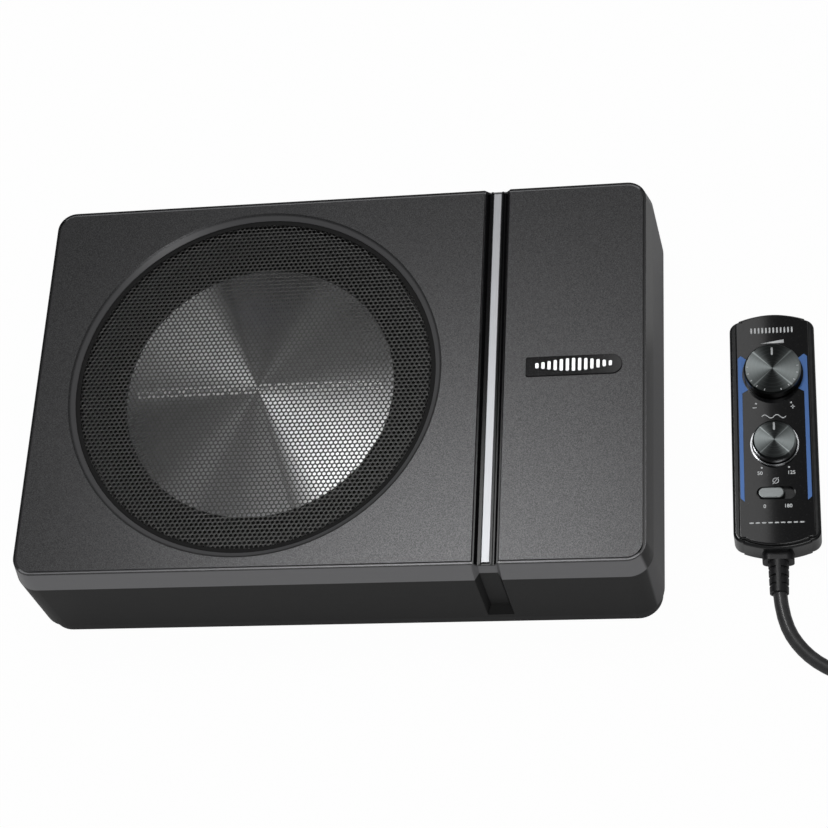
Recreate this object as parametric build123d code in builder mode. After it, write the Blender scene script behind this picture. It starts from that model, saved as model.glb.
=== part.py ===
"""Powered car subwoofer for the space under a seat, with its wired remote control.

A flat case of a plastic top cover on a shallow metal base pan holds a shallow 8 inch
driver, facing up behind a round perforated grille, and its amplifier. The remote control
lies on the floor beside the case, its lead unplugged and wound into a coil.
Millimetres, +Z up, +X to the right, the origin under the middle of the case on the floor.
"""

import os
from math import atan2, cos, degrees, pi, radians, sin, tan

from build123d import *

os.makedirs("parts", exist_ok=True)

# ---------------------------------------------------------------- case
TOP_X = 335.0  # flat top face, side to side
TOP_Y = 221.0  # flat top face, front to back
TOP_CORNER = 10.0  # its corner radius
HEIGHT = 77.5  # floor to top face
FOOT_PROUD = 1.5  # rubber feet below the pan
PAN_RISE = 13.0  # height of the base pan
BEVEL_X = 3.0  # steep bevel below the top face, how far it goes out at the sides
BEVEL_Y = 3.9  # and at the front and back
BEVEL_DROP = 14.0  # how far it comes down
FLARE = 1.8  # draft of the walls, outwards to the parting line
EDGE_LAND = 0.4  # flat rim outside the shadow groove
SHADOW_WIDE = 1.4  # shadow groove round the top face
SHADOW_DEEP = 1.2
WALL = 3.0  # cover wall
PAN_WALL = 2.5  # pan wall and floor
PAN_INSET = 1.5  # pan stands this far inside the cover's edge
PAN_ROUND = 3.0  # rounded bottom edge of the pan

SEAT_GAP = 0.1  # clearance between pieces that slip together
RUN_GAP = 0.3  # clearance between soft or moving pieces

PART_Z = FOOT_PROUD + PAN_RISE
SHOULDER_Z = HEIGHT - BEVEL_DROP
FLOOR_Z = FOOT_PROUD + PAN_WALL  # upper side of the pan floor
CEILING_Z = HEIGHT - WALL  # underside of the cover
CASE_LEVELS = (
    (PART_Z, BEVEL_X + FLARE, BEVEL_Y + FLARE),
    (SHOULDER_Z, BEVEL_X, BEVEL_Y),
    (HEIGHT, EDGE_LAND, EDGE_LAND),
)
PAN_X = TOP_X + 2 * (BEVEL_X + FLARE - PAN_INSET)
PAN_Y = TOP_Y + 2 * (BEVEL_Y + FLARE - PAN_INSET)
PAN_CORNER = TOP_CORNER + BEVEL_X + FLARE - PAN_INSET
INNER_X = PAN_X / 2 - PAN_WALL  # half width inside the pan
INNER_Y = PAN_Y / 2 - PAN_WALL

# ---------------------------------------------------------------- driver and grille
DRIVER_FROM_LEFT = 122.6  # centre of the driver from the left edge of the top face
OPENING_R = 100.5  # opening in the cover
OPENING_BEVEL = 3.5  # bevel ring round it, seen from above
OPENING_BEVEL_DEEP = 2.5
GRILLE_R = 103.5
GRILLE_THICK = 1.0
GRILLE_RING_IN = 97.5
GRILLE_RING_THICK = 2.7
BASKET_FLANGE_R = 98.0
BASKET_FLANGE_THICK = 2.5
BASKET_SHEET = 2.0
BASKET_FOOT_R = 50.0
SHELF_IN = 56.0  # spider shelf
SHELF_OUT = 64.0
WALL_FOOT_R = 76.0  # foot of the basket's outer wall, clear of the cone at its lowest
EAR_R = 109.0  # circle of the driver screws
EAR_HALF = 5.5
EARS = 6
GASKET_THICK = 1.1
GASKET_IN = 90.0
CONE_R = 75.0
DOME_THICK = 1.0
DOME_RISE = 2.5  # the middle of the dome above its rim
CONE_TO_TOP = 15.0  # rim of the cone below the top face
CONE_SHEET = 0.8
SURROUND_THICK = 1.0
SURROUND_OUT = 97.0
ROLL_OUT = 86.0
FORMER_IN = 18.9
FORMER_OUT = 19.3
COIL_OUT = 20.6
COIL_TALL = 14.0
POLE_R = 18.2
POLE_VENT_R = 5.0
PLATE_BORE_R = 21.2
PLATE_R = 46.0
PLATE_THICK = 6.0
MAGNET_IN = 28.0
MAGNET_R = 47.0
MAGNET_THICK = 14.0
YOKE_R = 45.0
YOKE_THICK = 6.0
MOTOR_LIFT = 3.0  # air below the yoke
STROKE = 4.0  # the cone travels this far each way

DRIVER_X = DRIVER_FROM_LEFT - TOP_X / 2
GRILLE_Z = CEILING_Z - SEAT_GAP - GRILLE_THICK  # underside of the grille
RING_Z = GRILLE_Z - SEAT_GAP - GRILLE_RING_THICK
FLANGE_TOP = RING_Z - GASKET_THICK - SURROUND_THICK
FLANGE_Z = FLANGE_TOP - BASKET_FLANGE_THICK
CONE_Z = HEIGHT - CONE_TO_TOP
YOKE_Z = FLOOR_Z + MOTOR_LIFT
MAGNET_Z = YOKE_Z + YOKE_THICK
PLATE_Z = MAGNET_Z + MAGNET_THICK
BASKET_Z = PLATE_Z + PLATE_THICK
SHELF_TOP = BASKET_Z + 0.36 * (FLANGE_TOP - BASKET_Z)
SPIDER_RISE = 6.0  # inner end of the spider above its shelf
SPIDER_THICK = 0.7
DRIVER_PLANE = Plane((DRIVER_X, 0, 0), x_dir=(1, 0, 0), z_dir=(0, -1, 0))
DRIVER_AXIS = Axis((DRIVER_X, 0, 0), (0, 0, 1))

# ---------------------------------------------------------------- trim and badge
TRIM_FROM_RIGHT = 81.5  # middle of the trim channel from the right edge of the top face
CHANNEL_WIDE = 14.3
CHANNEL_FLOOR = 9.7
CHANNEL_DEEP = 4.0
SIDE_LEAN = (CHANNEL_WIDE - CHANNEL_FLOOR) / 2 / CHANNEL_DEEP
CHANNEL_BACK = 2.8  # wall left behind the channel
RAMP_LOW = 18.0  # the channel runs out on the front wall between these heights
RAMP_TOP = 23.0
STRIP_WIDE = 4.7
STRIP_THICK = 1.2
BADGE_LONG = 51.0
BADGE_WIDE = 11.5
BADGE_THICK = 1.4
BADGE_POCKET = 0.6
BADGE_FROM_RIGHT = 37.6
BARS = 13

TRIM_X = TOP_X / 2 - TRIM_FROM_RIGHT
BADGE_X = TOP_X / 2 - BADGE_FROM_RIGHT

# ---------------------------------------------------------------- fixings of the case
POST_R = 4.5
POST_IN = 10.2  # corner posts from the inner walls of the pan
POST_SPLIT = 62.0  # middle pair of posts, from the middle of the case
SCREW_R = 1.7
SCREW_HEAD_R = 3.4
SCREW_HEAD = 1.9
SCREW_LONG = 16.0
FOOT_R = 9.0
FOOT_POCKET = 1.0
FOOT_X = 130.0
FOOT_Y = 97.0
TAPPED_X = 300.0  # tapped holes for the mounting brackets
TAPPED_Y = 180.0
TAPPED_R = 2.1
TAPPED_DEEP = 8.5
TAPPED_BOSS_R = 5.0

POSTS = [
    (side * (INNER_X - POST_IN), end * (INNER_Y - POST_IN)) for side in (-1, 1) for end in (-1, 1)
] + [(POST_SPLIT, -(INNER_Y - POST_IN + 1)), (POST_SPLIT, INNER_Y - POST_IN + 1)]

# ---------------------------------------------------------------- amplifier
BOARD_X = 84.0
BOARD_Y = 150.0
BOARD_THICK = 1.6
BOARD_MID_Y = -5.0
BOARD_LIFT = 8.0  # standoffs
BOARD_FROM_RIGHT = 8.0
STANDOFF_IN = 5.0
STANDOFF_R = 3.5
SINK_BASE = 2.5
SINK_FIN = 3.5
SINK_TALL = 36.0
SINK_FINS = 12
PANEL_X = 72.0  # opening for the terminals in the back wall
PANEL_Z = 34.0
PANEL_MARGIN = 6.0
PANEL_THICK = 2.5

BOARD_Z = FLOOR_Z + BOARD_LIFT
BOARD_TOP = BOARD_Z + BOARD_THICK
BOARD_MID_X = INNER_X - BOARD_FROM_RIGHT - BOARD_X / 2
PANEL_MID_X = BOARD_MID_X
PANEL_MID_Z = 37.0
PANEL_OUT = INNER_Y - 1.0  # outer face of the terminal panel

# ---------------------------------------------------------------- remote control
REMOTE_GAP = 64.2  # middle of the remote from the edge of the top face
REMOTE_Y = -12.0
REMOTE_WIDE = 46.0
REMOTE_LONG = 132.0  # without its bowed ends
REMOTE_BOW = 4.0
REMOTE_BOW_HALF = 18.0
REMOTE_CORNER = 6.0
REMOTE_WALL = 2.0
REMOTE_SPLIT = 9.0  # height of the parting line
REMOTE_TOP = 17.0
FACE_THICK = 2.2
FACE_WIDE = 39.6
FACE_IN = 1.4  # the face stands in from the ends
TRIM_DEEP = 1.0
KNOB_Y = 32.0  # volume knob, from the middle of the remote
FREQ_Y = -10.5
SLIDE_Y = -39.0
KNOB_R = 15.35
KNOB_TALL = 7.0
FREQ_R = 11.6
FREQ_TALL = 6.0
DISH = 0.8  # shallow dish in the face round the volume knob
SHAFT_R = 3.0
SHAFT_FIT = 0.04  # running clearance of a shaft in its bush
PILL_LONG = 20.6
PILL_WIDE = 7.3
SLIDER_LONG = 14.0
SLIDER_WIDE = 6.4
SLIDER_TALL = 3.0
SLIDE_TRAVEL = 5.0
RBOARD_Z = 6.0
RBOARD_THICK = 1.6
POT_WIDE = 13.0
POT_TALL = 5.0
BUSH_R = 4.4  # bush round a potentiometer's shaft
BUSH_TALL = 2.0
SWITCH_LONG = 15.0
SWITCH_WIDE = 7.0
RSCREW_X = 16.5
RSCREW_Y = 58.0
RSCREW_R = 1.2

REMOTE_X = TOP_X / 2 + REMOTE_GAP
FACE_TOP = REMOTE_TOP + FACE_THICK
REMOTE = Plane((REMOTE_X, REMOTE_Y, 0))
RBOARD_TOP = RBOARD_Z + RBOARD_THICK
POT_TOP = RBOARD_TOP + POT_TALL

# ---------------------------------------------------------------- remote lead
CORD = 7.5  # diameter
CORD_EXIT_Z = 6.2
COLLAR_WIDE = 16.8
COLLAR_TALL = 11.0
COLLAR_LONG = 3.7
COLLAR_ROOT = 3.0
RELIEF_R = 5.55
RELIEF_TIP_R = 5.0
RELIEF_LONG = 17.6
BORE_DEEP = 10.0
COIL_LAYERS = 4
COIL_TURNS = 15.25
STUB = 32.0  # straight end on the coil, where the lead joins it
PLUG_R = 6.0
PLUG_LONG = 26.0
TIE_WIDE = 12.0
TIE_THICK = 1.3
TIE_ANGLE = 150.0

EXIT_Y = REMOTE_Y - REMOTE_LONG / 2 - REMOTE_BOW - COLLAR_LONG - RELIEF_LONG + BORE_DEEP
LAYER_TURNS = COIL_TURNS / COIL_LAYERS
COIL_MID_R = 41.0
COIL_OUT_R = COIL_MID_R + LAYER_TURNS * CORD / 2
COIL_IN_R = COIL_MID_R - LAYER_TURNS * CORD / 2
COIL_HIGH = COIL_LAYERS * CORD


def save(piece, name):
    """Label a finished piece and write it."""
    piece.part.label = name
    export_step(piece.part, f"parts/{name}.step")


def case_block(inset, top_z):
    """The cover's outer form, drawn in by inset, from the parting line to top_z."""
    with BuildPart() as block:
        for z, out_x, out_y in CASE_LEVELS:
            with BuildSketch(Plane.XY.offset(min(z, top_z))):
                RectangleRounded(
                    TOP_X + 2 * (out_x - inset),
                    TOP_Y + 2 * (out_y - inset),
                    TOP_CORNER + out_x - inset,
                )
        loft(ruled=True)
    return block.part


def ring(inner, outer, low, high):
    """A plain ring on the driver's axis."""
    with BuildPart() as piece:
        with BuildSketch(Plane((DRIVER_X, 0, low))):
            Circle(outer)
            if inner > 0:
                Circle(inner, mode=Mode.SUBTRACT)
        extrude(amount=high - low)
    return piece


def flat_screws(spots, low, shank, head_r, head, long):
    """Countersunk screws driven upwards, their heads' faces at low."""
    with BuildPart() as piece:
        with Locations(*[(x, y, low) for x, y in spots]):
            Cone(head_r, shank, head, align=(Align.CENTER, Align.CENTER, Align.MIN))
            Cylinder(shank, long, align=(Align.CENTER, Align.CENTER, Align.MIN))
        with BuildSketch(Plane.XY.offset(low)):
            with Locations(*spots):
                RegularPolygon(head_r / 3, 6)
        extrude(amount=head / 2, mode=Mode.SUBTRACT)
    return piece


# ================================================================ case
def front_y(z):
    """Outer face of the cover's front at height z."""
    if z > SHOULDER_Z:
        return -(TOP_Y / 2 + BEVEL_Y) + (BEVEL_Y - EDGE_LAND) * (z - SHOULDER_Z) / BEVEL_DROP
    return -(TOP_Y / 2 + BEVEL_Y) - FLARE * (SHOULDER_Z - z) / (SHOULDER_Z - PART_Z)


def channel_section(along, deep, out):
    """Corners of the trim channel's section, from just outside the surface to its floor."""
    mouth = CHANNEL_WIDE / 2 + SIDE_LEAN * out
    floor = CHANNEL_WIDE / 2 - SIDE_LEAN * deep
    return [
        (TRIM_X - mouth, along - out),
        (TRIM_X + mouth, along - out),
        (TRIM_X + floor, along + deep),
        (TRIM_X - floor, along + deep),
    ]


CHANNEL_OUT = 0.3  # the channel's cutting form starts this far outside the surface
CHANNEL_STEPS = (
    (HEIGHT + 1, CHANNEL_DEEP),
    (SHOULDER_Z, CHANNEL_DEEP),
    (RAMP_TOP, CHANNEL_DEEP),
    (RAMP_LOW, 0.1),
)
with BuildPart() as channel:
    with BuildSketch(Plane.XZ):
        with BuildLine():
            Polyline(
                *[
                    (x, 2 * HEIGHT - z)
                    for x, z in channel_section(HEIGHT, CHANNEL_DEEP, CHANNEL_OUT)
                ],
                close=True,
            )
        make_face()
    extrude(amount=TOP_Y / 2 + BEVEL_Y, both=True)
    for pair in zip(CHANNEL_STEPS, CHANNEL_STEPS[1:]):
        for z, deep in pair:
            with BuildSketch(Plane.XY.offset(z)):
                with BuildLine():
                    Polyline(*channel_section(front_y(z), deep, CHANNEL_OUT), close=True)
                make_face()
        loft(ruled=True)

with BuildPart() as channel_back:
    add(case_block(0, HEIGHT))
    with BuildSketch(Plane.YZ.offset(TRIM_X)):
        with BuildLine():
            Polyline(
                (TOP_Y, HEIGHT),
                (TOP_Y, HEIGHT - CHANNEL_DEEP - CHANNEL_BACK),
                (-TOP_Y / 2 + CHANNEL_DEEP + CHANNEL_BACK, HEIGHT - CHANNEL_DEEP - CHANNEL_BACK),
                (-TOP_Y / 2 - BEVEL_Y + CHANNEL_DEEP + CHANNEL_BACK, PART_Z),
                (-TOP_Y, PART_Z),
                (-TOP_Y, HEIGHT),
                close=True,
            )
        make_face()
    extrude(amount=CHANNEL_WIDE / 2 + CHANNEL_BACK, both=True, mode=Mode.INTERSECT)

with BuildPart() as badge_form:
    with BuildSketch(Plane((BADGE_X, 0, HEIGHT - BADGE_POCKET))):
        Rectangle(BADGE_LONG, BADGE_WIDE)
    extrude(amount=BADGE_THICK)
    upright = badge_form.edges().filter_by(Axis.Z)
    fillet(upright.group_by(Axis.X)[-1], BADGE_WIDE / 2 - SEAT_GAP)
    fillet(badge_form.edges().filter_by(Axis.Z).group_by(Axis.X)[0], 1.0)

with BuildPart() as top_cover:
    add(case_block(0, HEIGHT))
    add(case_block(WALL, CEILING_Z), mode=Mode.SUBTRACT)
    with BuildSketch(Plane.XY.offset(FLOOR_Z + SEAT_GAP)):
        with Locations(*POSTS):
            Circle(POST_R)
    extrude(amount=CEILING_Z - FLOOR_Z)
    with BuildSketch(Plane((DRIVER_X, 0, FLANGE_TOP))):
        with PolarLocations(EAR_R, EARS):
            Circle(EAR_HALF - 1.5)
    extrude(amount=CEILING_Z - FLANGE_TOP + 1)
    add(channel_back.part)
    add(channel.part, mode=Mode.SUBTRACT)
    with BuildSketch(Plane.XY.offset(HEIGHT)):
        RectangleRounded(TOP_X, TOP_Y, TOP_CORNER)
        RectangleRounded(
            TOP_X - 2 * SHADOW_WIDE,
            TOP_Y - 2 * SHADOW_WIDE,
            TOP_CORNER - SHADOW_WIDE,
            mode=Mode.SUBTRACT,
        )
    extrude(amount=-SHADOW_DEEP, mode=Mode.SUBTRACT)
    with BuildSketch(Plane((DRIVER_X, 0, HEIGHT))):
        Circle(OPENING_R)
    extrude(amount=-2 * WALL, mode=Mode.SUBTRACT)
    with Locations((DRIVER_X, 0, HEIGHT - OPENING_BEVEL_DEEP / 2)):
        Cone(OPENING_R, OPENING_R + OPENING_BEVEL, OPENING_BEVEL_DEEP, mode=Mode.SUBTRACT)
    with BuildSketch(Plane.XY.offset(FLOOR_Z + SEAT_GAP)):
        with Locations(*POSTS):
            Circle(SCREW_R + 0.05)
    extrude(amount=SCREW_LONG, mode=Mode.SUBTRACT)
    with BuildSketch(Plane((DRIVER_X, 0, FLANGE_TOP))):
        with PolarLocations(EAR_R, EARS):
            Circle(SCREW_R + 0.05)
    extrude(amount=CEILING_Z - FLANGE_TOP + 1, mode=Mode.SUBTRACT)
    with BuildSketch(Plane.XZ.offset(-INNER_Y)):
        with Locations((PANEL_MID_X, PANEL_MID_Z)):
            RectangleRounded(PANEL_X, PANEL_Z, 3)
    extrude(amount=20, both=True, mode=Mode.SUBTRACT)
    add(badge_form.part, mode=Mode.SUBTRACT)
save(top_cover, "top_cover")

with BuildPart() as base_pan:
    with BuildSketch(Plane.XY.offset(FOOT_PROUD)):
        RectangleRounded(PAN_X, PAN_Y, PAN_CORNER)
    extrude(amount=PAN_RISE)
    fillet(base_pan.faces().sort_by(Axis.Z)[0].edges(), PAN_ROUND)
    with BuildSketch(Plane.XY.offset(FLOOR_Z)):
        RectangleRounded(2 * INNER_X, 2 * INNER_Y, PAN_CORNER - PAN_WALL)
    extrude(amount=PAN_RISE, mode=Mode.SUBTRACT)
    with BuildSketch(Plane.XY.offset(FLOOR_Z - 1)):
        with GridLocations(TAPPED_X, TAPPED_Y, 2, 2):
            Circle(TAPPED_BOSS_R)
    extrude(amount=FOOT_PROUD + TAPPED_DEEP - FLOOR_Z + 1)
    with BuildSketch(Plane((BOARD_MID_X, BOARD_MID_Y, FLOOR_Z - 1))):
        with GridLocations(BOARD_X - 2 * STANDOFF_IN, BOARD_Y - 2 * STANDOFF_IN, 2, 2):
            Circle(STANDOFF_R)
    extrude(amount=BOARD_LIFT + 1)
    with BuildSketch(Plane((BOARD_MID_X, BOARD_MID_Y, BOARD_Z))):
        with GridLocations(BOARD_X - 2 * STANDOFF_IN, BOARD_Y - 2 * STANDOFF_IN, 2, 2):
            Circle(RSCREW_R + 0.05)
    extrude(amount=-BOARD_LIFT, mode=Mode.SUBTRACT)
    with BuildSketch(Plane.XY.offset(FOOT_PROUD)):
        with GridLocations(TAPPED_X, TAPPED_Y, 2, 2):
            Circle(TAPPED_R)
    extrude(amount=TAPPED_DEEP, mode=Mode.SUBTRACT)
    with BuildSketch(Plane.XY.offset(FOOT_PROUD)):
        with GridLocations(2 * FOOT_X, 2 * FOOT_Y, 2, 2):
            Circle(FOOT_R + SEAT_GAP)
    extrude(amount=FOOT_POCKET, mode=Mode.SUBTRACT)
    with BuildSketch(Plane.XY.offset(FOOT_PROUD)):
        with Locations(*POSTS):
            Circle(SCREW_R + SEAT_GAP)
    extrude(amount=PAN_WALL, mode=Mode.SUBTRACT)
    with Locations(*[(x, y, FOOT_PROUD) for x, y in POSTS]):
        Cone(
            SCREW_HEAD_R + SEAT_GAP,
            SCREW_R + SEAT_GAP,
            SCREW_HEAD + SEAT_GAP,
            align=(Align.CENTER, Align.CENTER, Align.MIN),
            mode=Mode.SUBTRACT,
        )
save(base_pan, "base_pan")

with BuildPart() as rubber_feet:
    with BuildSketch():
        with GridLocations(2 * FOOT_X, 2 * FOOT_Y, 2, 2):
            Circle(FOOT_R)
    extrude(amount=FOOT_PROUD + FOOT_POCKET)
    chamfer(rubber_feet.edges().group_by(Axis.Z)[0], 0.6)
save(rubber_feet, "rubber_feet")

case_screws = flat_screws(POSTS, FOOT_PROUD, SCREW_R, SCREW_HEAD_R, SCREW_HEAD, SCREW_LONG - 1)
save(case_screws, "case_screws")

# ================================================================ trim and badge
FLOOR_HALF = CHANNEL_FLOOR / 2 - SEAT_GAP
CHANNEL_Z = HEIGHT - CHANNEL_DEEP
SLOT_HALF = STRIP_WIDE / 2 + SEAT_GAP
RIDGE = 0.9
with BuildPart() as trim_bar:
    with BuildSketch(Plane.XZ):
        with BuildLine():
            Polyline(
                (TRIM_X - FLOOR_HALF, CHANNEL_Z),
                (TRIM_X + FLOOR_HALF, CHANNEL_Z),
                (TRIM_X + FLOOR_HALF + 3.2 * SIDE_LEAN, CHANNEL_Z + 3.2),
                (TRIM_X + FLOOR_HALF + 3.2 * SIDE_LEAN - 0.7, CHANNEL_Z + 3.2),
                (TRIM_X + FLOOR_HALF - 0.4, CHANNEL_Z + 1.0),
                (TRIM_X + SLOT_HALF + RIDGE + 0.2, CHANNEL_Z + 1.0),
                (TRIM_X + SLOT_HALF + RIDGE, CHANNEL_Z + 2.6),
                (TRIM_X + SLOT_HALF, CHANNEL_Z + 2.6),
                (TRIM_X + SLOT_HALF, CHANNEL_Z + 1.0),
                (TRIM_X - SLOT_HALF, CHANNEL_Z + 1.0),
                (TRIM_X - SLOT_HALF, CHANNEL_Z + 2.6),
                (TRIM_X - SLOT_HALF - RIDGE, CHANNEL_Z + 2.6),
                (TRIM_X - SLOT_HALF - RIDGE - 0.2, CHANNEL_Z + 1.0),
                (TRIM_X - FLOOR_HALF + 0.4, CHANNEL_Z + 1.0),
                (TRIM_X - FLOOR_HALF - 3.2 * SIDE_LEAN + 0.7, CHANNEL_Z + 3.2),
                (TRIM_X - FLOOR_HALF - 3.2 * SIDE_LEAN, CHANNEL_Z + 3.2),
                close=True,
            )
        make_face()
    extrude(amount=TOP_Y / 2, both=True)
save(trim_bar, "trim_bar")

with BuildPart() as trim_strip:
    with BuildSketch(Plane.XZ):
        with Locations((TRIM_X, CHANNEL_Z + 1.0 + STRIP_THICK / 2)):
            Rectangle(STRIP_WIDE, STRIP_THICK)
    extrude(amount=TOP_Y / 2 - 1.2, both=True)
    chamfer(trim_strip.edges().filter_by(Axis.Y).group_by(Axis.Z)[-1], 0.4)
save(trim_strip, "trim_strip")

with BuildPart() as badge_plate:
    add(badge_form.part)
    chamfer(badge_plate.faces().sort_by(Axis.Z)[-1].edges(), 0.3)
save(badge_plate, "badge_plate")

BAR_PITCH = (BADGE_LONG - 9) / BARS
with BuildPart() as badge_bars:
    for index in range(BARS):
        place = index - (BARS - 1) / 2
        tall = (BADGE_WIDE - 4) * (0.30 + 0.70 * cos(place * pi / (BARS + 3)) ** 2)
        with BuildSketch(Plane((BADGE_X + place * BAR_PITCH, 0, HEIGHT - BADGE_POCKET + BADGE_THICK))):
            RectangleRounded(1.7, tall, 0.6)
        extrude(amount=0.6)
save(badge_bars, "badge_bars")

# ================================================================ grille and driver
grille = ring(0, GRILLE_R, GRILLE_Z, GRILLE_Z + GRILLE_THICK)
save(grille, "grille")

grille_ring = ring(GRILLE_RING_IN, GRILLE_R, RING_Z, RING_Z + GRILLE_RING_THICK)
save(grille_ring, "grille_ring")

gasket = ring(GASKET_IN, SURROUND_OUT, RING_Z - GASKET_THICK, RING_Z)
save(gasket, "driver_gasket")

with BuildPart() as basket:
    with BuildSketch(DRIVER_PLANE):
        with BuildLine():
            Polyline(
                (COIL_OUT + 4, BASKET_Z),
                (BASKET_FOOT_R, BASKET_Z),
                (SHELF_IN + 1, SHELF_TOP - BASKET_SHEET),
                (WALL_FOOT_R + 1, SHELF_TOP - BASKET_SHEET),
                (ROLL_OUT, FLANGE_Z),
                (BASKET_FLANGE_R, FLANGE_Z),
                (BASKET_FLANGE_R, FLANGE_TOP),
                (ROLL_OUT - BASKET_SHEET, FLANGE_TOP),
                (WALL_FOOT_R, SHELF_TOP),
                (SHELF_IN - 1, SHELF_TOP),
                (BASKET_FOOT_R - BASKET_SHEET, BASKET_Z + BASKET_SHEET),
                (COIL_OUT + 4, BASKET_Z + BASKET_SHEET),
                close=True,
            )
        make_face()
    revolve(axis=DRIVER_AXIS)
    with BuildSketch(Plane((DRIVER_X, 0, FLANGE_Z))):
        with PolarLocations(EAR_R - EAR_HALF, EARS):
            Rectangle(4 * EAR_HALF, 2 * EAR_HALF)
        with PolarLocations(EAR_R, EARS):
            Circle(EAR_HALF)
            Circle(SCREW_R + SEAT_GAP, mode=Mode.SUBTRACT)
        Circle(ROLL_OUT + 1, mode=Mode.SUBTRACT)
        with PolarLocations(EAR_R + 2 * EAR_HALF, EARS):
            Circle(EAR_HALF - 0.5, mode=Mode.SUBTRACT)
    extrude(amount=BASKET_FLANGE_THICK)
    with BuildSketch(Plane((DRIVER_X, 0, SHELF_TOP))):
        Circle(ROLL_OUT - 3.5)
        Circle(SHELF_OUT + 3, mode=Mode.SUBTRACT)
        with PolarLocations(ROLL_OUT / 2, EARS):
            Rectangle(ROLL_OUT, 16, mode=Mode.SUBTRACT)
    extrude(amount=FLANGE_Z - SHELF_TOP + 1, both=True, mode=Mode.SUBTRACT)
save(basket, "basket")

ear_spots = [
    (DRIVER_X + EAR_R * cos(radians(60 * k)), EAR_R * sin(radians(60 * k))) for k in range(EARS)
]
with BuildPart() as driver_screws:
    with Locations(*[(x, y, FLANGE_Z) for x, y in ear_spots]):
        Cylinder(SCREW_HEAD_R, 2.2, align=(Align.CENTER, Align.CENTER, Align.MAX))
        Cylinder(SCREW_R, BASKET_FLANGE_THICK + 5, align=(Align.CENTER, Align.CENTER, Align.MIN))
    with BuildSketch(Plane.XY.offset(FLANGE_Z - 2.2)):
        with Locations(*ear_spots):
            RegularPolygon(1.2, 6)
    extrude(amount=1.2, mode=Mode.SUBTRACT)
save(driver_screws, "driver_screws")

ROLL_STEPS = 10
ROLL_HIGH = 3.2  # crest of the roll above the slope from the cone to the basket
SURROUND_IN = CONE_R + RUN_GAP
with BuildPart() as surround:
    with BuildSketch(DRIVER_PLANE):
        with BuildLine():
            under = [(SURROUND_IN, CONE_Z - 1.2)]
            for k in range(ROLL_STEPS + 1):
                share = k / ROLL_STEPS
                r = SURROUND_IN + 1.2 + share * (ROLL_OUT - SURROUND_IN - 1.2)
                slope_z = CONE_Z - 1.2 + share * (FLANGE_TOP - CONE_Z + 1.2)
                under.append((r, slope_z + ROLL_HIGH * sin(pi * share)))
            under.append((SURROUND_OUT, FLANGE_TOP))
            upper = [(r, z + SURROUND_THICK) for r, z in reversed(under)]
            Polyline(*under, *upper, close=True)
        make_face()
    revolve(axis=DRIVER_AXIS)
save(surround, "surround")

DOME_STEPS = 6
with BuildPart() as cone_dome:
    with BuildSketch(DRIVER_PLANE):
        with BuildLine():
            crown = [(0.0, CONE_Z + DOME_RISE)]
            for k in range(1, DOME_STEPS + 1):
                share = k / DOME_STEPS
                crown.append((share * CONE_R, CONE_Z + DOME_RISE * (1 - share**2)))
            crown[0] = (0.0, crown[1][1])
            below = [(r, z - DOME_THICK) for r, z in reversed(crown)]
            Polyline(*crown, *below, close=True)
        make_face()
    revolve(axis=DRIVER_AXIS)
save(cone_dome, "cone_dome")

SPIDER_TOP = SHELF_TOP + SPIDER_RISE
NECK_Z = SPIDER_TOP + 1.5
with BuildPart() as cone_body:
    with BuildSketch(DRIVER_PLANE):
        with BuildLine():
            Polyline(
                (FORMER_OUT + SEAT_GAP, NECK_Z),
                (CONE_R - 0.5, CONE_Z - DOME_THICK - CONE_SHEET - 0.1),
                (CONE_R - 0.5, CONE_Z - DOME_THICK - 0.1),
                (FORMER_OUT + SEAT_GAP + 3, NECK_Z + CONE_SHEET + 1.4),
                (FORMER_OUT + SEAT_GAP, NECK_Z + CONE_SHEET + 1.4),
                close=True,
            )
        make_face()
    revolve(axis=DRIVER_AXIS)
save(cone_body, "cone_body")

COIL_Z = PLATE_Z + PLATE_THICK / 2 - COIL_TALL / 2
dome_under = CONE_Z + DOME_RISE * (1 - (2 / DOME_STEPS) ** 2) - DOME_THICK
former = ring(FORMER_IN, FORMER_OUT, COIL_Z, dome_under - 0.05)
save(former, "voice_coil_former")

voice_coil = ring(FORMER_OUT + 0.02, COIL_OUT, COIL_Z, COIL_Z + COIL_TALL)
save(voice_coil, "voice_coil")

WAVES = 5
SPIDER_IN = FORMER_OUT + RUN_GAP
SPIDER_OUT = SHELF_OUT - 1.5
with BuildPart() as spider:
    with BuildSketch(DRIVER_PLANE):
        with BuildLine():
            wave_run = (SHELF_IN - SPIDER_IN - 4) / (2 * WAVES)
            crest = [(SPIDER_IN, SPIDER_TOP - SPIDER_THICK), (SPIDER_IN + 3, SPIDER_TOP - SPIDER_THICK)]
            for k in range(1, 2 * WAVES):
                level = SPIDER_TOP - SPIDER_THICK - (SPIDER_RISE - SPIDER_THICK) * k / (2 * WAVES)
                crest.append((SPIDER_IN + 3 + k * wave_run, level + (0.9 if k % 2 else -0.3)))
            crest += [(SHELF_IN - 1, SHELF_TOP), (SPIDER_OUT, SHELF_TOP)]
            upper = [(r, z + SPIDER_THICK) for r, z in reversed(crest)]
            Polyline(*crest, *upper, close=True)
        make_face()
    revolve(axis=DRIVER_AXIS)
save(spider, "spider")

top_plate = ring(PLATE_BORE_R, PLATE_R, PLATE_Z, PLATE_Z + PLATE_THICK)
save(top_plate, "top_plate")

magnet = ring(MAGNET_IN, MAGNET_R, MAGNET_Z, MAGNET_Z + MAGNET_THICK)
save(magnet, "magnet")

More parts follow.
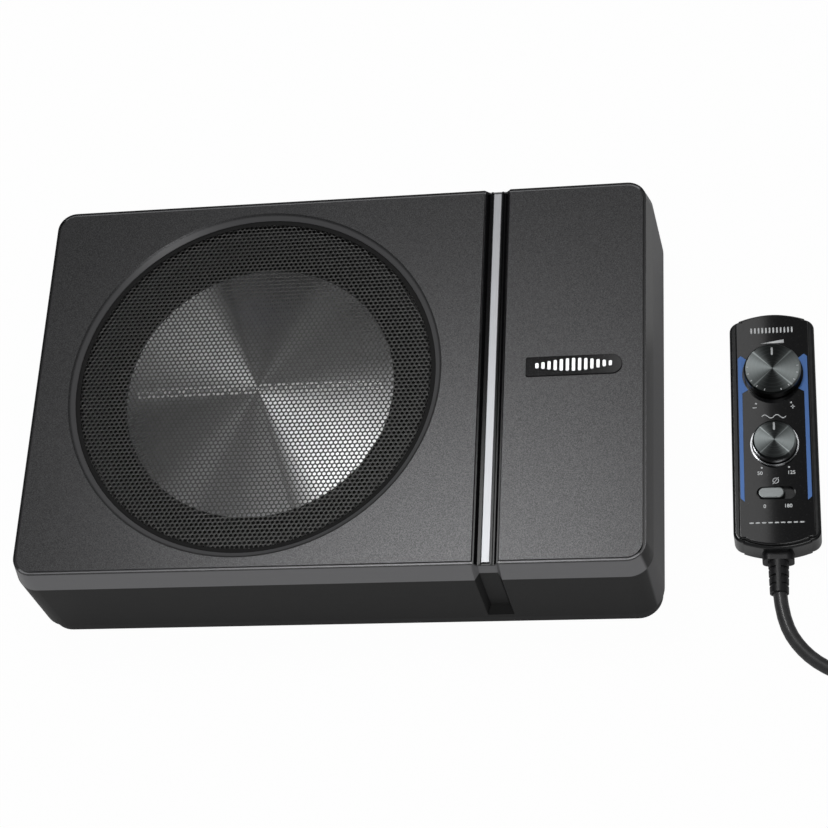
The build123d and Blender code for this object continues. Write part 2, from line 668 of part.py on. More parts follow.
with BuildPart() as yoke:
    with BuildSketch(Plane((DRIVER_X, 0, YOKE_Z))):
        Circle(YOKE_R)
    extrude(amount=YOKE_THICK)
    with BuildSketch(Plane((DRIVER_X, 0, YOKE_Z))):
        Circle(POLE_R)
    extrude(amount=BASKET_Z - YOKE_Z)
    with BuildSketch(Plane((DRIVER_X, 0, YOKE_Z))):
        Circle(POLE_VENT_R)
    extrude(amount=BASKET_Z - YOKE_Z, mode=Mode.SUBTRACT)
    chamfer(yoke.faces().sort_by(Axis.Z)[0].edges(), 1.5)
save(yoke, "yoke")

# ================================================================ amplifier
BOARD = Plane((BOARD_MID_X, BOARD_MID_Y, BOARD_Z))
BOARD_HOLES = [
    (BOARD_MID_X + side * (BOARD_X / 2 - STANDOFF_IN), BOARD_MID_Y + end * (BOARD_Y / 2 - STANDOFF_IN))
    for side in (-1, 1)
    for end in (-1, 1)
]
with BuildPart() as amp_board:
    with BuildSketch(BOARD):
        RectangleRounded(BOARD_X, BOARD_Y, 2)
        with GridLocations(BOARD_X - 2 * STANDOFF_IN, BOARD_Y - 2 * STANDOFF_IN, 2, 2):
            Circle(RSCREW_R + SEAT_GAP, mode=Mode.SUBTRACT)
    extrude(amount=BOARD_THICK)
save(amp_board, "amp_board")

with BuildPart() as board_screws:
    with Locations(*[(x, y, BOARD_TOP) for x, y in BOARD_HOLES]):
        Cylinder(2.4, 1.8, align=(Align.CENTER, Align.CENTER, Align.MIN))
        Cylinder(RSCREW_R, BOARD_LIFT - 1, align=(Align.CENTER, Align.CENTER, Align.MAX))
    with BuildSketch(Plane.XY.offset(BOARD_TOP + 1.8)):
        with Locations(*BOARD_HOLES):
            Rectangle(3.2, 0.6)
            Rectangle(0.6, 3.2)
    extrude(amount=-0.9, mode=Mode.SUBTRACT)
save(board_screws, "board_screws")

with BuildPart() as toroid:
    with BuildSketch(Plane((BOARD_MID_X - 18, BOARD_MID_Y - 38, BOARD_TOP))):
        Circle(20)
        Circle(8, mode=Mode.SUBTRACT)
    extrude(amount=18)
    fillet(toroid.edges().filter_by(GeomType.CIRCLE), 4)
save(toroid, "toroid_choke")

CAP_SPOTS = [(BOARD_MID_X - 28, 0), (BOARD_MID_X - 6, 0), (BOARD_MID_X - 28, 26), (BOARD_MID_X - 6, 26)]
with BuildPart() as capacitors:
    with BuildSketch(Plane.XY.offset(BOARD_TOP)):
        with Locations(*CAP_SPOTS):
            Circle(9)
    extrude(amount=30)
    chamfer(capacitors.edges().group_by(Axis.Z)[-1], 0.8)
save(capacitors, "filter_capacitors")

SINK_X = INNER_X - 0.8 - SINK_BASE - SINK_FIN
with BuildPart() as heat_sink:
    with BuildSketch(Plane((SINK_X + SINK_BASE / 2, BOARD_MID_Y, FLOOR_Z))):
        Rectangle(SINK_BASE, BOARD_Y)
        with Locations((SINK_BASE / 2 + SINK_FIN / 2, 0)):
            with GridLocations(1, (BOARD_Y - 6) / (SINK_FINS - 1), 1, SINK_FINS):
                Rectangle(SINK_FIN, 2.5)
    extrude(amount=SINK_TALL)
save(heat_sink, "heat_sink")

with BuildPart() as transistors:
    with BuildSketch(Plane((SINK_X - SEAT_GAP / 2 - 2.3, BOARD_MID_Y, BOARD_TOP + 4))):
        with GridLocations(1, 22, 1, 6):
            Rectangle(4.5, 14)
    extrude(amount=17)
    with BuildSketch(Plane((SINK_X - SEAT_GAP / 2 - 2.3, BOARD_MID_Y, BOARD_TOP))):
        with GridLocations(1, 22, 1, 6):
            with GridLocations(1, 4, 1, 3):
                Rectangle(0.7, 1.1)
    extrude(amount=4)
save(transistors, "power_transistors")

# ================================================================ terminals in the back wall
POWER_AT = (PANEL_MID_X - 21, PANEL_MID_Z + 7.5)
SPEAKER_AT = (PANEL_MID_X + 4, PANEL_MID_Z + 7.5)
FUSE_AT = (PANEL_MID_X - 21, PANEL_MID_Z - 8)
JACK_AT = (PANEL_MID_X + 4, PANEL_MID_Z - 8)
RCA_AT = [(PANEL_MID_X + 25, PANEL_MID_Z + 8.5), (PANEL_MID_X + 25, PANEL_MID_Z - 8.5)]
POWER_SIZE = (24.0, 12.0)
SPEAKER_SIZE = (18.0, 11.0)
FUSE_SIZE = (22.0, 8.0)
JACK_R = 7.0
RCA_R = 4.6
SOCKET_DEEP = 9.0
PANEL_FACE = Plane((0, PANEL_OUT, 0), x_dir=(1, 0, 0), z_dir=(0, -1, 0))
PANEL_LOW = FLOOR_Z
PANEL_TALL = PANEL_MID_Z + PANEL_Z / 2 + PANEL_MARGIN - PANEL_LOW

with BuildPart() as terminal_panel:
    with BuildSketch(PANEL_FACE):
        with Locations((PANEL_MID_X, PANEL_LOW + PANEL_TALL / 2)):
            Rectangle(PANEL_X + 2 * PANEL_MARGIN, PANEL_TALL)
        with Locations(POWER_AT):
            Rectangle(POWER_SIZE[0] + 2 * SEAT_GAP, POWER_SIZE[1] + 2 * SEAT_GAP, mode=Mode.SUBTRACT)
        with Locations(SPEAKER_AT):
            Rectangle(SPEAKER_SIZE[0] + 2 * SEAT_GAP, SPEAKER_SIZE[1] + 2 * SEAT_GAP, mode=Mode.SUBTRACT)
        with Locations(FUSE_AT):
            Rectangle(FUSE_SIZE[0] + 2 * SEAT_GAP, FUSE_SIZE[1] + 2 * SEAT_GAP, mode=Mode.SUBTRACT)
        with Locations(JACK_AT):
            Circle(JACK_R + SEAT_GAP, mode=Mode.SUBTRACT)
        with Locations(*RCA_AT):
            Circle(RCA_R + SEAT_GAP, mode=Mode.SUBTRACT)
    extrude(amount=PANEL_THICK)
save(terminal_panel, "terminal_panel")


def socket(place, size, wall, pins):
    """A box socket through the panel, open to the back, with a row of pins inside."""
    with BuildPart() as piece:
        with BuildSketch(PANEL_FACE.offset(-1.5)):
            with Locations(place):
                Rectangle(*size)
        extrude(amount=SOCKET_DEEP + 5)
        with BuildSketch(PANEL_FACE.offset(-1.5)):
            with Locations(place):
                Rectangle(size[0] - 2 * wall, size[1] - 2 * wall)
        extrude(amount=SOCKET_DEEP, mode=Mode.SUBTRACT)
        if pins:
            with BuildSketch(PANEL_FACE.offset(-1.5 + SOCKET_DEEP)):
                with Locations(place):
                    with GridLocations((size[0] - 2 * wall) / pins, 1, pins, 1):
                        Rectangle(1.2, 1.2)
            extrude(amount=-SOCKET_DEEP / 2 + 1)
    return piece


save(socket(POWER_AT, POWER_SIZE, 1.6, 3), "power_connector")
save(socket(SPEAKER_AT, SPEAKER_SIZE, 1.6, 4), "speaker_input_socket")
save(socket(FUSE_AT, FUSE_SIZE, 1.4, 0), "fuse_holder")

with BuildPart() as blade_fuse:
    with BuildSketch(PANEL_FACE.offset(-4.5)):
        with Locations(FUSE_AT):
            Rectangle(FUSE_SIZE[0] - 2 * 1.4 - 0.4, FUSE_SIZE[1] - 2 * 1.4 - 0.4)
    extrude(amount=7)
    chamfer(blade_fuse.edges().group_by(Axis.Y)[-1], 0.5)
    with BuildSketch(PANEL_FACE.offset(2.5)):
        with Locations(FUSE_AT):
            with GridLocations(12, 1, 2, 1):
                Rectangle(4.5, 0.8)
    extrude(amount=4.9)
save(blade_fuse, "blade_fuse")

with BuildPart() as remote_socket:
    with BuildSketch(PANEL_FACE.offset(-1.5)):
        with Locations(JACK_AT):
            Circle(JACK_R)
    extrude(amount=SOCKET_DEEP + 5)
    with BuildSketch(PANEL_FACE.offset(-1.5)):
        with Locations(JACK_AT):
            Circle(JACK_R - 1.8)
    extrude(amount=SOCKET_DEEP, mode=Mode.SUBTRACT)
    with BuildSketch(PANEL_FACE.offset(-1.5 + SOCKET_DEEP)):
        with Locations(JACK_AT):
            with PolarLocations(3.2, 6):
                Circle(0.5)
            Rectangle(1.6, 2.4)
    extrude(amount=-SOCKET_DEEP / 2 + 1)
save(remote_socket, "remote_socket")

with BuildPart() as rca_jacks:
    with BuildSketch(PANEL_FACE.offset(PANEL_THICK + SEAT_GAP)):
        with Locations(*RCA_AT):
            Rectangle(13, 13)
    extrude(amount=10)
    with BuildSketch(PANEL_FACE.offset(-3.5)):
        with Locations(*RCA_AT):
            Circle(RCA_R - 0.5)
    extrude(amount=PANEL_THICK + 5)
    with BuildSketch(PANEL_FACE.offset(-0.8)):
        with Locations(*RCA_AT):
            Circle(RCA_R)
    extrude(amount=PANEL_THICK + 2)
    with BuildSketch(PANEL_FACE.offset(-3.5)):
        with Locations(*RCA_AT):
            Circle(1.7)
    extrude(amount=9, mode=Mode.SUBTRACT)
save(rca_jacks, "rca_jacks")


# ================================================================ remote control
def remote_outline(inset):
    """Plan of the remote: a rounded rectangle with a bowed end at each short side."""
    half = REMOTE_LONG / 2 - inset
    bow_half = REMOTE_BOW_HALF - inset
    with BuildSketch() as outline:
        RectangleRounded(REMOTE_WIDE - 2 * inset, 2 * half, REMOTE_CORNER - inset)
        for side in (1, -1):
            with BuildLine():
                ThreePointArc(
                    (-bow_half, side * (half + 0.6)),
                    (0, side * (half + REMOTE_BOW)),
                    (bow_half, side * (half + 0.6)),
                )
                Polyline(
                    (bow_half, side * (half + 0.6)),
                    (bow_half, side * (half - 5)),
                    (-bow_half, side * (half - 5)),
                    (-bow_half, side * (half + 0.6)),
                )
            make_face()
    return outline.sketch


RSCREW_SPOTS = [(side * RSCREW_X, end * RSCREW_Y) for side in (-1, 1) for end in (-1, 1)]
COLLAR_CUT = 2 * SEAT_GAP
TAIL = -(REMOTE_LONG / 2 + REMOTE_BOW)  # tail end, from the middle of the remote
TAIL_PLANE = Plane((REMOTE_X, REMOTE_Y + TAIL, CORD_EXIT_Z), x_dir=(1, 0, 0), z_dir=(0, -1, 0))

with BuildPart() as back_shell:
    with BuildSketch(REMOTE):
        add(remote_outline(0))
    extrude(amount=REMOTE_SPLIT)
    fillet(back_shell.faces().sort_by(Axis.Z)[0].edges(), 1.6)
    with BuildSketch(REMOTE.offset(REMOTE_WALL)):
        add(remote_outline(REMOTE_WALL))
    extrude(amount=REMOTE_SPLIT, mode=Mode.SUBTRACT)
    with BuildSketch(REMOTE.offset(REMOTE_WALL - 1)):
        with Locations(*RSCREW_SPOTS):
            Circle(3)
    extrude(amount=REMOTE_SPLIT - REMOTE_WALL + 1)
    with BuildSketch(REMOTE.offset(REMOTE_WALL - 1)):
        with GridLocations(30, 96, 2, 2):
            Circle(2)
    extrude(amount=RBOARD_Z - REMOTE_WALL + 1)
    with BuildSketch(REMOTE):
        with Locations(*RSCREW_SPOTS):
            Circle(RSCREW_R + SEAT_GAP)
    extrude(amount=REMOTE_SPLIT, mode=Mode.SUBTRACT)
    with Locations(*[(REMOTE_X + x, REMOTE_Y + y, 0) for x, y in RSCREW_SPOTS]):
        Cone(
            2.4 + SEAT_GAP,
            RSCREW_R + SEAT_GAP,
            1.4 + SEAT_GAP,
            align=(Align.CENTER, Align.CENTER, Align.MIN),
            mode=Mode.SUBTRACT,
        )
    with BuildSketch(TAIL_PLANE.offset(-COLLAR_ROOT - REMOTE_WALL)):
        RectangleRounded(COLLAR_WIDE + COLLAR_CUT, COLLAR_TALL + COLLAR_CUT, 4)
    extrude(amount=COLLAR_ROOT + 2 * REMOTE_WALL, mode=Mode.SUBTRACT)
save(back_shell, "remote_back_shell")

HOLE_R = SHAFT_R + 0.4
STEM_LONG = 3.0
with BuildPart() as front_shell:
    with BuildSketch(REMOTE.offset(REMOTE_SPLIT)):
        add(remote_outline(0))
    extrude(amount=REMOTE_TOP - REMOTE_SPLIT)
    fillet(front_shell.faces().sort_by(Axis.Z)[-1].edges(), 1.6)
    with BuildSketch(REMOTE.offset(REMOTE_SPLIT)):
        add(remote_outline(REMOTE_WALL))
    extrude(amount=REMOTE_TOP - REMOTE_SPLIT - REMOTE_WALL, mode=Mode.SUBTRACT)
    with BuildSketch(REMOTE.offset(REMOTE_SPLIT)):
        with Locations(*RSCREW_SPOTS):
            Circle(3)
    extrude(amount=REMOTE_TOP - REMOTE_SPLIT - 1)
    with BuildSketch(REMOTE.offset(REMOTE_SPLIT)):
        with Locations(*RSCREW_SPOTS):
            Circle(RSCREW_R + 0.05)
    extrude(amount=5, mode=Mode.SUBTRACT)
    with BuildSketch(REMOTE.offset(REMOTE_TOP)):
        with Locations((0, KNOB_Y), (0, FREQ_Y)):
            Circle(HOLE_R)
        with Locations((0, SLIDE_Y)):
            Rectangle(STEM_LONG + SLIDE_TRAVEL + 1.6, 3.0)
    extrude(amount=-2 * REMOTE_WALL, mode=Mode.SUBTRACT)
    with BuildSketch(TAIL_PLANE.offset(-COLLAR_ROOT - REMOTE_WALL)):
        RectangleRounded(COLLAR_WIDE + COLLAR_CUT, COLLAR_TALL + COLLAR_CUT, 4)
    extrude(amount=COLLAR_ROOT + 2 * REMOTE_WALL, mode=Mode.SUBTRACT)
save(front_shell, "remote_front_shell")

INLAY_OUT = 18.7  # outer edge of the blue inlays from the middle
INLAY_WIDE_IN = 13.2
INLAY_NARROW = 2.1
INLAY_TOP = KNOB_Y + 11.4
INLAY_STEP = KNOB_Y - 11.4
INLAY_LOW = SLIDE_Y - 4.6
INLAY_GAP_R = KNOB_R + 1.1


def inlay(side, slack, low, high):
    """A blue side inlay: broad beside the volume knob, then a narrow line down the side."""
    with BuildPart() as piece:
        with BuildSketch(REMOTE.offset(low)):
            with BuildLine():
                Polyline(
                    (side * (INLAY_OUT + slack), INLAY_TOP - 1.6 + slack),
                    (side * (INLAY_OUT - 1.6), INLAY_TOP + slack),
                    (side * (INLAY_WIDE_IN - slack), INLAY_TOP - 3.0 + slack),
                    (side * (INLAY_WIDE_IN - slack), INLAY_STEP + 2.0 - slack),
                    (side * (INLAY_OUT - INLAY_NARROW - slack), INLAY_STEP - slack),
                    (side * (INLAY_OUT - INLAY_NARROW - slack), INLAY_LOW - slack),
                    (side * (INLAY_OUT + slack), INLAY_LOW + 2.0 - slack),
                    close=True,
                )
            make_face()
            with Locations((0, KNOB_Y)):
                Circle(INLAY_GAP_R - slack, mode=Mode.SUBTRACT)
        extrude(amount=high - low)
    return piece


with BuildPart() as face:
    with BuildSketch(REMOTE.offset(REMOTE_TOP)):
        add(remote_outline(FACE_IN))
        Rectangle(FACE_WIDE, 2 * REMOTE_LONG, mode=Mode.INTERSECT)
    extrude(amount=FACE_THICK)
    fillet(face.faces().sort_by(Axis.Z)[-1].edges(), 0.8)
    for side in (-1, 1):
        add(inlay(side, SEAT_GAP, FACE_TOP - TRIM_DEEP, FACE_TOP + 1).part, mode=Mode.SUBTRACT)
    with BuildSketch(REMOTE.offset(FACE_TOP)):
        with Locations((0, KNOB_Y)):
            Circle(KNOB_R + 0.6)
    extrude(amount=-DISH, mode=Mode.SUBTRACT)
    with BuildSketch(REMOTE.offset(FACE_TOP)):
        with Locations((0, KNOB_Y), (0, FREQ_Y)):
            Circle(HOLE_R)
        with Locations((0, SLIDE_Y)):
            SlotOverall(PILL_LONG, PILL_WIDE)
    extrude(amount=-FACE_THICK, mode=Mode.SUBTRACT)
save(face, "remote_face")

save(inlay(-1, 0, FACE_TOP - TRIM_DEEP, FACE_TOP + 0.1), "blue_inlay_left")
save(inlay(1, 0, FACE_TOP - TRIM_DEEP, FACE_TOP + 0.1), "blue_inlay_right")


def knob(spot_y, radius, tall, low):
    """A turned knob with a skirt, a bevelled top and a pointer groove."""
    with BuildPart() as piece:
        with BuildSketch(REMOTE.offset(low)):
            with Locations((0, spot_y)):
                Circle(radius)
        extrude(amount=tall)
        chamfer(piece.edges().group_by(Axis.Z)[-1], 0.9)
        with BuildSketch(REMOTE.offset(low)):
            with Locations((0, spot_y)):
                Circle(SHAFT_R + 0.02)
        extrude(amount=tall - 2, mode=Mode.SUBTRACT)
        with BuildSketch(REMOTE.offset(low + tall)):
            with Locations((0, spot_y + 0.72 * radius)):
                RectangleRounded(1.2, 0.24 * radius, 0.5)
        extrude(amount=-0.4, mode=Mode.SUBTRACT)
    return piece


KNOB_Z = FACE_TOP - DISH + RUN_GAP
FREQ_Z = FACE_TOP + RUN_GAP
save(knob(KNOB_Y, KNOB_R, KNOB_TALL, KNOB_Z), "volume_knob")
save(knob(FREQ_Y, FREQ_R, FREQ_TALL, FREQ_Z), "frequency_knob")


def shaft(spot_y, top):
    """The turning shaft of a potentiometer."""
    with BuildPart() as piece:
        with BuildSketch(REMOTE.offset(POT_TOP + SEAT_GAP)):
            with Locations((0, spot_y)):
                Circle(SHAFT_R)
        extrude(amount=top - POT_TOP - SEAT_GAP)
    return piece


save(shaft(KNOB_Y, KNOB_Z + KNOB_TALL - 2.1), "volume_shaft")
save(shaft(FREQ_Y, FREQ_Z + FREQ_TALL - 2.1), "frequency_shaft")

with BuildPart() as bezel:
    with BuildSketch(REMOTE.offset(FACE_TOP)):
        with Locations((0, FREQ_Y)):
            Circle(FREQ_R + 1.3)
            Circle(FREQ_R + 0.6, mode=Mode.SUBTRACT)
    extrude(amount=0.5)
save(bezel, "frequency_bezel")

SLIDER_Z = FACE_TOP - FACE_THICK + RUN_GAP
with BuildPart() as slider:
    with BuildSketch(REMOTE.offset(SLIDER_Z)):
        with Locations((-SLIDE_TRAVEL / 2, SLIDE_Y)):
            SlotOverall(SLIDER_LONG, SLIDER_WIDE)
    extrude(amount=SLIDER_TALL)
    fillet(slider.faces().sort_by(Axis.Z)[-1].edges(), 0.8)
    with BuildSketch(REMOTE.offset(SLIDER_Z)):
        with Locations((-SLIDE_TRAVEL / 2, SLIDE_Y)):
            Rectangle(STEM_LONG, 2.0)
    extrude(amount=-(SLIDER_Z - POT_TOP - SEAT_GAP))
save(slider, "phase_slider")

with BuildPart() as remote_board:
    with BuildSketch(REMOTE.offset(RBOARD_Z)):
        RectangleRounded(36, 104, 2)
    extrude(amount=RBOARD_THICK)
save(remote_board, "remote_board")


def body_box(spot_y, wide, deep, bush_tall):
    """A component body on the remote's board, with a bush for its shaft on top if it has one."""
    with BuildPart() as piece:
        with BuildSketch(REMOTE.offset(RBOARD_TOP)):
            with Locations((0, spot_y)):
                RectangleRounded(wide, deep, 0.8)
        extrude(amount=POT_TALL)
        if bush_tall > 0:
            with BuildSketch(REMOTE.offset(POT_TOP)):
                with Locations((0, spot_y)):
                    Circle(BUSH_R)
                    Circle(SHAFT_R + SHAFT_FIT, mode=Mode.SUBTRACT)
            extrude(amount=bush_tall)
    return piece


save(body_box(KNOB_Y, POT_WIDE, POT_WIDE, BUSH_TALL), "volume_potentiometer")
save(body_box(FREQ_Y, POT_WIDE, POT_WIDE, BUSH_TALL), "frequency_potentiometer")
save(body_box(SLIDE_Y, SWITCH_LONG, SWITCH_WIDE, 0), "phase_switch")

remote_screws = flat_screws(
    [(REMOTE_X + x, REMOTE_Y + y) for x, y in RSCREW_SPOTS], 0, RSCREW_R, 2.4, 1.4, REMOTE_SPLIT + 4
)
save(remote_screws, "remote_screws")

# ================================================================ strain relief and lead
with BuildPart() as strain_relief:
    with BuildSketch(TAIL_PLANE.offset(-COLLAR_ROOT)):
        RectangleRounded(COLLAR_WIDE, COLLAR_TALL, 3.9)
    extrude(amount=COLLAR_ROOT + COLLAR_LONG)
    with BuildSketch(TAIL_PLANE.offset(COLLAR_LONG)):
        Circle(RELIEF_R)
    with BuildSketch(TAIL_PLANE.offset(COLLAR_LONG + RELIEF_LONG)):
        Circle(RELIEF_TIP_R)
    loft()
    for k in range(3):
        with BuildSketch(TAIL_PLANE.offset(COLLAR_LONG + 3.4 + 4.6 * k)):
            Circle(RELIEF_R + 1)
            Rectangle(2.6, 4 * RELIEF_R, mode=Mode.SUBTRACT)
            Circle(RELIEF_TIP_R - 0.6, mode=Mode.SUBTRACT)
        extrude(amount=1.6, mode=Mode.SUBTRACT)
    with BuildSketch(TAIL_PLANE.offset(COLLAR_LONG + RELIEF_LONG)):
        Circle(CORD / 2 + 0.05)
    extrude(amount=-BORE_DEEP, mode=Mode.SUBTRACT)
save(strain_relief, "strain_relief")

# Route of the lead from the strain relief to the coil, chosen by hand.
LEAD_POINTS = [
    (REMOTE_X, EXIT_Y, CORD_EXIT_Z),
    (REMOTE_X, EXIT_Y - 23.0, CORD_EXIT_Z),
    (REMOTE_X + 12.0, EXIT_Y - 44.0, 4.6),
    (REMOTE_X + 33.0, EXIT_Y - 56.0, 3.8),
    (REMOTE_X + 54.5, EXIT_Y - 59.8, 3.8),
    (REMOTE_X + 75.0, EXIT_Y - 58.2, 3.8),
]


def tube(points, name):
    """A round lead along straight runs joined by tangent arcs; prints its radii and volume."""
    radii = []
    for before, here, after in zip(points, points[1:], points[2:]):
        run_in = Vector(*here) - Vector(*before)
        run_out = Vector(*after) - Vector(*here)
        turn = radians(run_in.get_angle(run_out))
        radii.append(0.45 * min(run_in.length, run_out.length) / tan(turn / 2))
    with BuildPart() as piece:
        with BuildLine() as path:
            FilletPolyline(*points, radius=radii)
        route = path.wire()
        with BuildSketch(Plane(origin=route @ 0, z_dir=route % 0)):
            Circle(CORD / 2)
        sweep(path=route)
    ideal = pi * (CORD / 2) ** 2 * route.length
    print(name, "radii", [round(r, 1) for r in radii], "length", round(route.length, 1))
    print(name, "volume over section x length", round(piece.part.volume / ideal, 4))
    return piece


lead = tube(LEAD_POINTS, "cord_lead")
save(lead, "cord_lead")

# The coil's centre lies square to the last run of the lead.
last_run = Vector(*LEAD_POINTS[-1]) - Vector(*LEAD_POINTS[-2])
heading = degrees(atan2(last_run.Y, last_run.X))
ahead = Vector(cos(radians(heading)), sin(radians(heading)), 0)
aside = Vector(-ahead.Y, ahead.X, 0)
WIND_R = COIL_OUT_R  # outermost turn's centre line
coil_centre = Vector(*LEAD_POINTS[-1]) + ahead * STUB + aside * WIND_R
coil_centre = Vector(coil_centre.X, coil_centre.Y, 0)
end_angle = heading - 90 + 360 * COIL_TURNS
end_side = Vector(cos(radians(end_angle)), sin(radians(end_angle)), 0)
end_ahead = Vector(-end_side.Y, end_side.X, 0)
START_Z = LEAD_POINTS[-1][2]
END_Z = START_Z + (COIL_LAYERS - 1) * CORD
BAND_IN = COIL_IN_R - CORD / 2
BAND_OUT = COIL_OUT_R + CORD / 2
END_OF_COIL = coil_centre + end_side * WIND_R + end_ahead * STUB + Vector(0, 0, END_Z)
BAND_Z = START_Z - CORD / 2

tie_side = Vector(cos(radians(TIE_ANGLE)), sin(radians(TIE_ANGLE)), 0)
tie_along = Vector(-tie_side.Y, tie_side.X, 0)
TIE_PLANE = Plane(origin=coil_centre + tie_along * TIE_WIDE / 2, x_dir=tie_side, z_dir=-tie_along)
BAND_WIDE = BAND_OUT - BAND_IN
BAND_MID = ((BAND_IN + BAND_OUT) / 2, BAND_Z + COIL_HIGH / 2)


def band_section(inset):
    """Section of the wound coil, or of the same drawn in by inset."""
    with BuildSketch() as section:
        with Locations(BAND_MID):
            RectangleRounded(BAND_WIDE - 2 * inset, COIL_HIGH - 2 * inset, CORD / 2 + 1)
    return section.sketch


with BuildPart() as tie:
    with BuildSketch(TIE_PLANE):
        add(band_section(-0.01))
        add(band_section(TIE_THICK), mode=Mode.SUBTRACT)
    extrude(amount=TIE_WIDE)
with BuildPart() as tie_space:
    with BuildSketch(TIE_PLANE.offset(-SEAT_GAP)):
        add(band_section(-2))
        add(band_section(TIE_THICK + SEAT_GAP), mode=Mode.SUBTRACT)
    extrude(amount=TIE_WIDE + 2 * SEAT_GAP)
save(tie, "cord_tie")

with BuildPart() as coil:
    with BuildSketch(Plane(origin=coil_centre, x_dir=ahead, z_dir=-aside)):
        add(band_section(0))
    revolve(axis=Axis(coil_centre, (0, 0, 1)))
    add(tie_space.part, mode=Mode.SUBTRACT)
    with BuildSketch(Plane(origin=Vector(*LEAD_POINTS[-1]), z_dir=ahead)):
        Circle(CORD / 2)
    extrude(amount=STUB)
    with BuildSketch(Plane(origin=END_OF_COIL, z_dir=-end_ahead)):
        Circle(CORD / 2)
    extrude(amount=STUB)
save(coil, "cord_coil")

# Route of the tail, from the top of the coil down to the plug: along the floor and down.
TAIL_STEPS = [(0.0, 0.0), (22.0, 0.0), (44.0, -8.0), (66.0, -20.1), (90.0, -20.1)]
tail_points = [
    tuple(END_OF_COIL + end_ahead * along + Vector(0, 0, down)) for along, down in TAIL_STEPS
]
tail_tube = tube(tail_points, "cord_tail")
save(tail_tube, "cord_tail")

with BuildPart() as plug:
    with BuildSketch(Plane(origin=Vector(*tail_points[-1]), z_dir=end_ahead)):
        Circle(PLUG_R)
    extrude(amount=PLUG_LONG)
    chamfer(plug.edges().filter_by(GeomType.CIRCLE), 1.0)
    with BuildSketch(Plane(origin=Vector(*tail_points[-1]), z_dir=end_ahead).offset(PLUG_LONG)):
        Circle(PLUG_R - 1.6)
        Circle(PLUG_R - 2.2, mode=Mode.SUBTRACT)
    extrude(amount=8)
save(plug, "cord_plug")

wound = COIL_TURNS * 2 * pi * COIL_MID_R
print("coil centre", coil_centre, "turns", COIL_TURNS, "wound length", round(wound))
print("tail from", tail_points[0], "to", tail_points[-1])
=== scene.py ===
"""Looks of a powered car subwoofer and its wired remote control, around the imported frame.

Laid out as a Blender add-on and run as a script. Everything is in metres, in the frame
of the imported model: +Z up, +X to the right, the floor at zero.
"""

import math

import bmesh
import bpy
import numpy as np
from bpy.props import FloatProperty, FloatVectorProperty, IntProperty, PointerProperty
from bpy.types import Operator, Panel, PropertyGroup
from mathutils import Matrix, Quaternion, Vector


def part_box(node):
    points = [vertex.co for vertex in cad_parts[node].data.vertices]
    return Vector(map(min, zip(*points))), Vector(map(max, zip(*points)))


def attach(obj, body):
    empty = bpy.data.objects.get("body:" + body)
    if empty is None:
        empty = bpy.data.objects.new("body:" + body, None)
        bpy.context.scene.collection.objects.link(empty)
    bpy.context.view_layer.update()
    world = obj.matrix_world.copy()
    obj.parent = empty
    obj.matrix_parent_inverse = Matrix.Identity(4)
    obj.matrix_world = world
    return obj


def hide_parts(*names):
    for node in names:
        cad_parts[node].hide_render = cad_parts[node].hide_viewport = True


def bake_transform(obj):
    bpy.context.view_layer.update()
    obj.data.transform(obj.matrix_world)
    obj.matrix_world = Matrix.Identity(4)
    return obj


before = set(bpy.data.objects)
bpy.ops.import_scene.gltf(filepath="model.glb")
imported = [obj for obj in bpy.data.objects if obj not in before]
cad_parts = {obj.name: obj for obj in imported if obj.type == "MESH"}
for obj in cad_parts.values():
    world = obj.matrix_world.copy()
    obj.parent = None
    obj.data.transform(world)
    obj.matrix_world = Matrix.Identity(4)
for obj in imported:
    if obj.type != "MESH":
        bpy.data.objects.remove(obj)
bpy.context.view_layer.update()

bl_info = {
    "name": "Car subwoofer",
    "version": (1, 0, 0),
    "blender": (4, 5, 0),
    "location": "View3D > Sidebar > Subwoofer",
    "description": "Builds the visible pieces of a powered car subwoofer and its remote control",
    "category": "Object",
}

MM = 0.001
TAU = 2 * math.pi


# ---- places in the frame ----
def middle(node):
    """Centre of a node's box."""
    low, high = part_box(node)
    return (low + high) / 2


def top_of(node):
    """Height of a node's highest point."""
    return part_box(node)[1].z


DRIVER = middle("cone_dome")
REMOTE = middle("remote_back_shell")
FACE_Z = top_of("remote_face")
VOLUME = middle("volume_knob")
FREQUENCY = middle("frequency_knob")
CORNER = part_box("top_cover")[1]
TOP_Z = CORNER.z
EDGE_X = CORNER.x - 4.8 * MM  # the flat top face ends here at the sides
EDGE_Y = CORNER.y - 5.7 * MM  # and here at the front and back


# ---- shader maths ----
class Value:
    """A shader socket; Python's operators on it add Math nodes."""

    def __init__(self, tree, socket):
        self.tree = tree
        self.socket = socket

    def math(self, operation, *others):
        """Adds one Math node that takes this value and then the others."""
        node = self.tree.nodes.new("ShaderNodeMath")
        node.operation = operation
        for place, other in enumerate((self, *others)):
            if isinstance(other, Value):
                self.tree.links.new(other.socket, node.inputs[place])
            else:
                node.inputs[place].default_value = other
        return Value(self.tree, node.outputs[0])

    def __add__(self, other):
        return self.math("ADD", other)

    def __sub__(self, other):
        return self.math("SUBTRACT", other)

    def __rsub__(self, other):
        return self.math("MULTIPLY_ADD", -1.0, other)

    def __mul__(self, other):
        return self.math("MULTIPLY", other)

    def __truediv__(self, other):
        return self.math("DIVIDE", other)

    def __pow__(self, other):
        return self.math("POWER", other)

    __radd__, __rmul__ = __add__, __mul__


